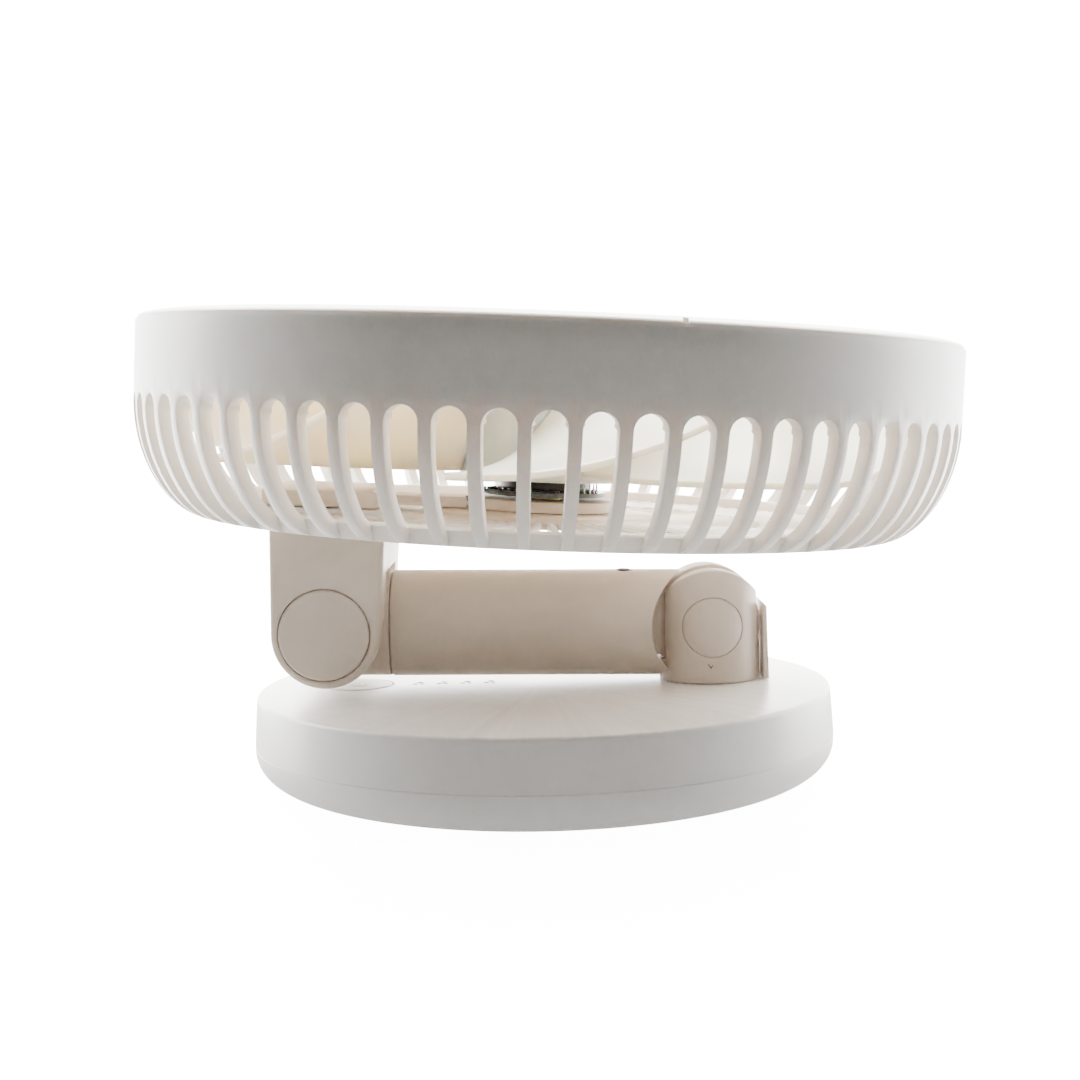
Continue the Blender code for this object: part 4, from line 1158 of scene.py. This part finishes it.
def build_grille():
    """The front grille: a rim that sits in the cage, two rings, swept ribs and the round badge."""
    s = settings()
    lip, skirt_outer, skirt_inner, seat = HEAD_RADIUS - 0.0006, 0.1001, 0.0989, RIM_TOP + 0.00003
    skirt_foot = 0.0012
    rim = lathe([(0.0968, 0.0199), (0.0990, 0.0197), (lip - 0.0010, 0.0190), (lip - 0.0003, 0.0187),
                 (lip, 0.0183), (lip, seat), (skirt_outer, seat), (skirt_outer, skirt_foot),
                 (skirt_inner, skirt_foot), (skirt_inner, 0.0160), (0.0968, 0.0176)], 192, closed=True)
    notch_x, notch_half = 0.0262, 0.0006
    notch_y = math.sqrt(lip ** 2 - notch_x ** 2)
    rim = cut(rim, box((notch_x - notch_half, -notch_y - 0.002, 0.0182),
                       (notch_x + notch_half, -notch_y + 0.003, 0.021)))
    ring = lathe([(0.0585, 0.0204), (0.0590, 0.0206), (0.0608, 0.0206), (0.0613, 0.0204), (0.0613, 0.0182),
                  (0.0585, 0.0182)], 128, closed=True)
    collar = lathe([(0.0215, 0.0208), (0.0222, 0.0211), (0.0250, 0.0210), (0.0256, 0.0207), (0.0256, 0.0180),
                    (0.0215, 0.0180)], 96, closed=True)
    ribs = []
    for rib, count in ((grille_rib(0.0250, 0.0590, 0.0013), s.grille_inner),
                       (grille_rib(0.0608, 0.0975, 0.0014), s.grille_outer)):
        ribs.append(repeated(rib, "ring", count=count, weld=0.0, finish=finish("cage")))
    grille = merged(rim, ring, collar, *ribs)
    piece("grille_ribs", moved(grille, HEAD), "cage", "head", ["front_grille"])
    badge_radius, badge_top, badge_round = 0.0219, 0.0217, 0.0006
    crown = [((badge_radius - 0.0001) * i / 8, badge_top - 0.0006 * (i / 8) ** 2) for i in range(8)]
    edge = arc((badge_radius - badge_round, 0.0205), badge_round, 80, 0, 4)
    badge = lathe(crown + edge + [(badge_radius, 0.0200), (0, 0.0200)])
    piece("grille_badge", moved(badge, HEAD), "shell", "head", ["grille_cap"])


class FAN_OT_grille(bpy.types.Operator):
    """Builds the front grille and its badge"""
    bl_idname = "fan.grille"
    bl_label = "Grille"

    def execute(self, context):
        build_grille()
        return {"FINISHED"}


# ---------------------------------------------------------------- motor and rotor

MOTOR_BORE = 0.0047


def build_motor_mount():
    """The drum that the motor stands on, and the driver board with its parts and pins."""
    bore, drum_radius, skin = MOTOR_BORE, 0.0175, 0.0013
    top, foot = -0.0235, -0.0262
    drum = lathe([(bore, top), (0.0168, top), (0.0173, top - 0.0002), (drum_radius, top - 0.0007),
                  (drum_radius, foot), (0.0160, foot), (0.0160, top - skin), (bore, top - skin)],
                 96, closed=True)
    piece("motor_drum", moved(drum, HEAD), "inner", "head", ["motor_mount"])
    board_radius, board_top, board_foot = 0.0157, -0.0213, -0.0225
    board = lathe([(bore, board_top), (board_radius, board_top), (board_radius, board_foot),
                   (bore, board_foot)], 72, closed=True)
    piece("driver_board", moved(board, HEAD), "board", "head", ["motor_board"])
    chip = softened(box((-0.0005, -0.0005, 0), (0.0005, 0.0005, 0.0007)), 0.00008, 1, 40)
    chips = repeated(chip, "scatter", count=60, inner=0.0122, outer=0.0146, height=board_top - 0.0001,
                     seed=4, finish=finish("black"))
    piece("board_parts", moved(chips, HEAD), "black", "head")
    pin_circle = 0.0138
    pins = []
    for i in range(6):
        turn = math.radians(-62 + 9 * i)
        pin = lathe([(0, 0.0023), (0.00022, 0.0022), (0.00026, 0.0), (0.00055, -0.0006), (0, -0.0012)], 10)
        place = (pin_circle * math.cos(turn), pin_circle * math.sin(turn), board_top)
        pins.append(moved(pin, Matrix.Translation(place)))
    piece("board_pins", moved(merged(*pins), HEAD), "solder", "head")


def build_coils():
    """The black bobbin, and nine wound coils above and below the stator's core."""
    bobbin = lathe([(MOTOR_BORE, -0.0166), (0.0110, -0.0166), (0.0115, -0.0171), (0.0115, -0.0205),
                    (0.0118, -0.0209), (MOTOR_BORE, -0.0209)], 72, closed=True)
    piece("stator_bobbin", moved(bobbin, HEAD), "black", "head", ["stator_insulator"])
    coil = prism(rounded_outline(0.0074, 0.0040, 0.0018), -0.0024, 0.0024)
    coil = moved(coil, Matrix.Translation((0.0103, 0, 0)))
    for name, z in (("lower", -0.01505), ("upper", -0.0051)):
        flat = moved(coil.copy(), Matrix.Diagonal((1, 1, 0.5, 1)), Matrix.Translation((0, 0, z)))
        coils = repeated(softened(flat, 0.0004, 2, 40), "ring", count=9, weld=0.0, finish=finish("copper"))
        piece(f"coils_{name}", moved(coils, HEAD), "copper", "head", [f"winding_{name}"])
    repaint("laminations", "stator_core")
    repaint("brass", "bearing_tube", "bearing_lower", "bearing_upper")


class FAN_OT_motor(bpy.types.Operator):
    """Builds the motor's drum, board, bobbin and coils"""
    bl_idname = "fan.motor"
    bl_label = "Motor"

    def execute(self, context):
        build_motor_mount()
        build_coils()
        return {"FINISHED"}


def build_wire_cover():
    """The T-shaped channel that hides the wires, and the three leads that dip into it."""
    wide, narrow, far, step, near = 0.0240, 0.0070, -0.0690, -0.0405, -0.0196
    low, high, corner = -0.0262, -0.0224, 0.003
    outline = [(far, -wide)] + arc((step - corner, -wide + corner), corner, -90, 0, 6)
    outline += [(step, -narrow), (near, -narrow), (near, narrow), (step, narrow)]
    outline += arc((step - corner, wide - corner), corner, 0, 90, 6) + [(far, wide)]
    channel = cut(prism(outline, low, high), box((step - 0.002, -0.02, high - 0.0012), (0, 0.02, 0.0)))
    clip_hole = box((-0.0290, -0.0080, low + 0.0008), (-0.0262, -0.0066, low + 0.0013))
    channel = softened(cut(channel, clip_hole), 0.00045, 2, 40)
    piece("wire_channel", moved(channel, HEAD), "inner", "head", ["wire_cover"])
    leads = []
    for side in (-0.0045, -0.0030, -0.0015):
        leads.append(tube([(-0.0150, side, -0.0214), (-0.0166, side, -0.0212), (-0.0182, side, -0.0220),
                           (-0.0190, side, -0.0236), (-0.0205, side, -0.0245), (-0.0230, side, -0.0248)],
                          0.0006))
    piece("motor_lead_wires", moved(merged(*leads), HEAD), "black", "head", ["motor_leads"])


class FAN_OT_wire_cover(bpy.types.Operator):
    """Builds the wire channel and the leads"""
    bl_idname = "fan.wire_cover"
    bl_label = "Wire Cover"

    def execute(self, context):
        build_wire_cover()
        return {"FINISHED"}


BLADE_START, BLADE_SWEEP = 0.10, 0.30
BLADE_ROOT, BLADE_STATIONS, BLADE_CHORDS = 0.0205, 22, 18


def blade_surface():
    """One blade's middle surface: swept round the hub, low at its leading edge, round at its tip."""
    tip = ROTOR_RADIUS - 0.0002
    shape = bmesh.new()
    rows = []
    for i in range(BLADE_STATIONS + 1):
        out = i / BLADE_STATIONS
        radius = BLADE_ROOT + (tip - BLADE_ROOT) * out
        span = math.radians(38 + 8 * math.sin(math.pi * out) + 4 * out)
        low = -0.0166 + 0.0020 * out ** 2
        high = 0.0038 + 0.0030 * out
        row = []
        for j in range(BLADE_CHORDS + 1):
            along = j / BLADE_CHORDS
            angle = BLADE_START + BLADE_SWEEP * out + span * (along - 0.5)
            corner_round = 0.0096 * max(0.0, out - 0.8) * (2 * along - 1) ** 4
            height = low + (high - low) * along ** (1 + out)
            r = radius - corner_round
            row.append(shape.verts.new((r * math.cos(angle), r * math.sin(angle), height)))
        rows.append(row)
    for near, far in zip(rows, rows[1:]):
        for j in range(BLADE_CHORDS):
            shape.faces.new((near[j], far[j], far[j + 1], near[j + 1]))
    return to_mesh(shape)


def build_rotor():
    """The blades round their hub, which is open below for the magnet."""
    s = settings()
    worker = held(blade_surface())
    thickness = worker.modifiers.new("thickness", "SOLIDIFY")
    thickness.thickness = s.blade_thickness
    thickness.offset = 0.0
    round_edges(worker, 0.00045)
    blades = repeated(baked(worker), "ring", count=s.blades, weld=0.0, finish=finish("blade"))
    skirt, bore, boss, shaft_hole, ceiling = 0.0220, 0.0199, 0.0036, 0.0016, 0.0030
    crown = [(0, 0.0080), (0.0050, 0.00795), (0.0100, 0.0076), (0.0150, 0.0068), (0.0190, 0.0052),
             (0.0210, 0.0034), (skirt - 0.0001, 0.0012)]
    rim = [(skirt, -0.0180), (skirt - 0.0004, -0.0184), (0.0203, -0.0184), (bore, -0.0180)]
    inside = [(bore, ceiling), (boss, ceiling), (boss, -0.0020), (shaft_hole, -0.0020), (shaft_hole, 0.0060),
              (0, 0.0060)]
    hub = lathe(crown + rim + inside, 128)
    piece("rotor_blades", moved(merged(blades, hub), HEAD), "blade", "rotor", ["fan_rotor"])
    repaint("ferrite", "magnet_ring")
    repaint("steel", "motor_shaft")


class FAN_OT_rotor(bpy.types.Operator):
    """Builds the blades and their hub"""
    bl_idname = "fan.rotor"
    bl_label = "Rotor"

    def execute(self, context):
        build_rotor()
        return {"FINISHED"}


# ---------------------------------------------------------------- stage


CAMERA_PLACE = (0.0, -0.4463, 0.0985)
CAMERA_PITCH, CAMERA_ROLL, CAMERA_LENS = 0.0822, 0.0231, 57.83
FLOOR_GLOW, BACKDROP_GLOW = 14.0, 17.0
TABLE_GLOW, TABLE_ALBEDO = 0.46, 0.26
SKY_COLOUR, SKY_STRENGTH = (1.0, 0.97, 0.94), 0.19
TOP_LIGHT_POWER, TOP_LIGHT_COLOUR = 105, (1.0, 0.93, 0.84)


def glowing_card(name, strength, grain, albedo=0.9):
    """Backlit paper with the faintest unevenness."""
    material = bpy.data.materials.new(name)
    material.use_nodes = True
    tree = material.node_tree
    shader = tree.nodes["Principled BSDF"]
    shader.inputs["Roughness"].default_value = 0.9
    shader.inputs["Emission Strength"].default_value = strength
    place = tree.nodes.new("ShaderNodeTexCoord").outputs["Object"]
    tone = ramp(tree, noise(tree, place, grain), (0.97, 0.97, 0.97), (1.0, 1.0, 1.0))
    tree.links.new(tone, shader.inputs["Emission Color"])
    shader.inputs["Base Color"].default_value = (albedo, albedo, albedo, 1)
    return material


def stage_card(name, low, high, material):
    """A flat card of the studio, which isn't part of the fan."""
    mesh = box(low, high)
    mesh.materials.append(material)
    card = bpy.data.objects.new(name, mesh)
    bpy.context.scene.collection.objects.link(card)
    return card


def area_light(name, place, aim, size, power, colour):
    """A soft rectangular light that faces its aim."""
    data = bpy.data.lights.new(name, "AREA")
    data.shape = "RECTANGLE"
    data.size, data.size_y = size
    data.energy = power
    data.color = colour
    lamp = bpy.data.objects.new(name, data)
    lamp.location = place
    lamp.rotation_euler = (Vector(aim) - Vector(place)).to_track_quat("-Z", "Y").to_euler()
    bpy.context.scene.collection.objects.link(lamp)
    return lamp


def build_camera():
    """The camera, a little above the base and level but for its slight roll."""
    data = bpy.data.cameras.new("camera")
    data.lens = CAMERA_LENS
    data.sensor_width = 36.0
    data.clip_start = 0.01
    camera = bpy.data.objects.new("camera", data)
    camera.matrix_world = (Matrix.Translation(CAMERA_PLACE)
                           @ Matrix.Rotation(math.pi / 2 - CAMERA_PITCH, 4, "X")
                           @ Matrix.Rotation(-CAMERA_ROLL, 4, "Z"))
    bpy.context.scene.collection.objects.link(camera)
    bpy.context.scene.camera = camera


def build_stage():
    """A glowing floor and backdrop that stay pure white, a dim card that lights the underside, one light."""
    floor = stage_card("floor", (-4.0, -4.0, -0.02), (4.0, 4.0, -0.00002),
                       glowing_card("pale_floor", FLOOR_GLOW, 3.0))
    floor.visible_diffuse = False
    floor.visible_glossy = False
    floor.visible_transmission = False
    floor.visible_shadow = False
    stage_card("backdrop", (-4.0, 1.0, -1.5), (4.0, 1.02, 3.0),
               glowing_card("white_backdrop", BACKDROP_GLOW, 1.5))
    table = stage_card("table_bounce", (-0.22, -0.22, -0.012), (0.22, 0.30, -0.010),
                       glowing_card("table_glow", TABLE_GLOW, 3.0, TABLE_ALBEDO))
    table.visible_camera = False

    world = bpy.data.worlds.new("studio")
    world.use_nodes = True
    sky = world.node_tree.nodes["Background"].inputs
    sky["Color"].default_value = (*SKY_COLOUR, 1)
    sky["Strength"].default_value = SKY_STRENGTH
    bpy.context.scene.world = world

    area_light("top_light", (0, 0.80, 1.1), (0, 0.02, 0.08), (1.6, 0.8), TOP_LIGHT_POWER, TOP_LIGHT_COLOUR)
    build_camera()


class FAN_OT_stage(bpy.types.Operator):
    """Adds the floor, the backdrop, the light and the camera"""
    bl_idname = "fan.stage"
    bl_label = "Stage"

    def execute(self, context):
        build_stage()
        return {"FINISHED"}


# ---------------------------------------------------------------- panel and run

STEPS = (
    FAN_OT_base_top, FAN_OT_base_bottom, FAN_OT_controls, FAN_OT_base_inside,
    FAN_OT_pedestal, FAN_OT_arm, FAN_OT_neck, FAN_OT_cage_wall,
    FAN_OT_cage_floor, FAN_OT_grille, FAN_OT_motor, FAN_OT_wire_cover,
    FAN_OT_rotor, FAN_OT_stage,
)


class FAN_PT_panel(bpy.types.Panel):
    """Lists the settings and the building steps in the sidebar."""
    bl_label = "Desk Fan"
    bl_space_type = "VIEW_3D"
    bl_region_type = "UI"
    bl_category = "Desk Fan"

    def draw(self, context):
        for name in FanSettings.__annotations__:
            self.layout.prop(context.scene.desk_fan, name)
        for step in STEPS:
            self.layout.operator(step.bl_idname)


CLASSES = (FanSettings, *STEPS, FAN_PT_panel)


def register():
    for cls in CLASSES:
        bpy.utils.register_class(cls)
    bpy.types.Scene.desk_fan = PointerProperty(type=FanSettings)


def unregister():
    del bpy.types.Scene.desk_fan
    for cls in reversed(CLASSES):
        bpy.utils.unregister_class(cls)


def main():
    """Builds the fan and its stage."""
    register()
    for step in STEPS:
        getattr(bpy.ops.fan, step.bl_idname.removeprefix("fan."))()


if __name__ == "__main__":
    main()
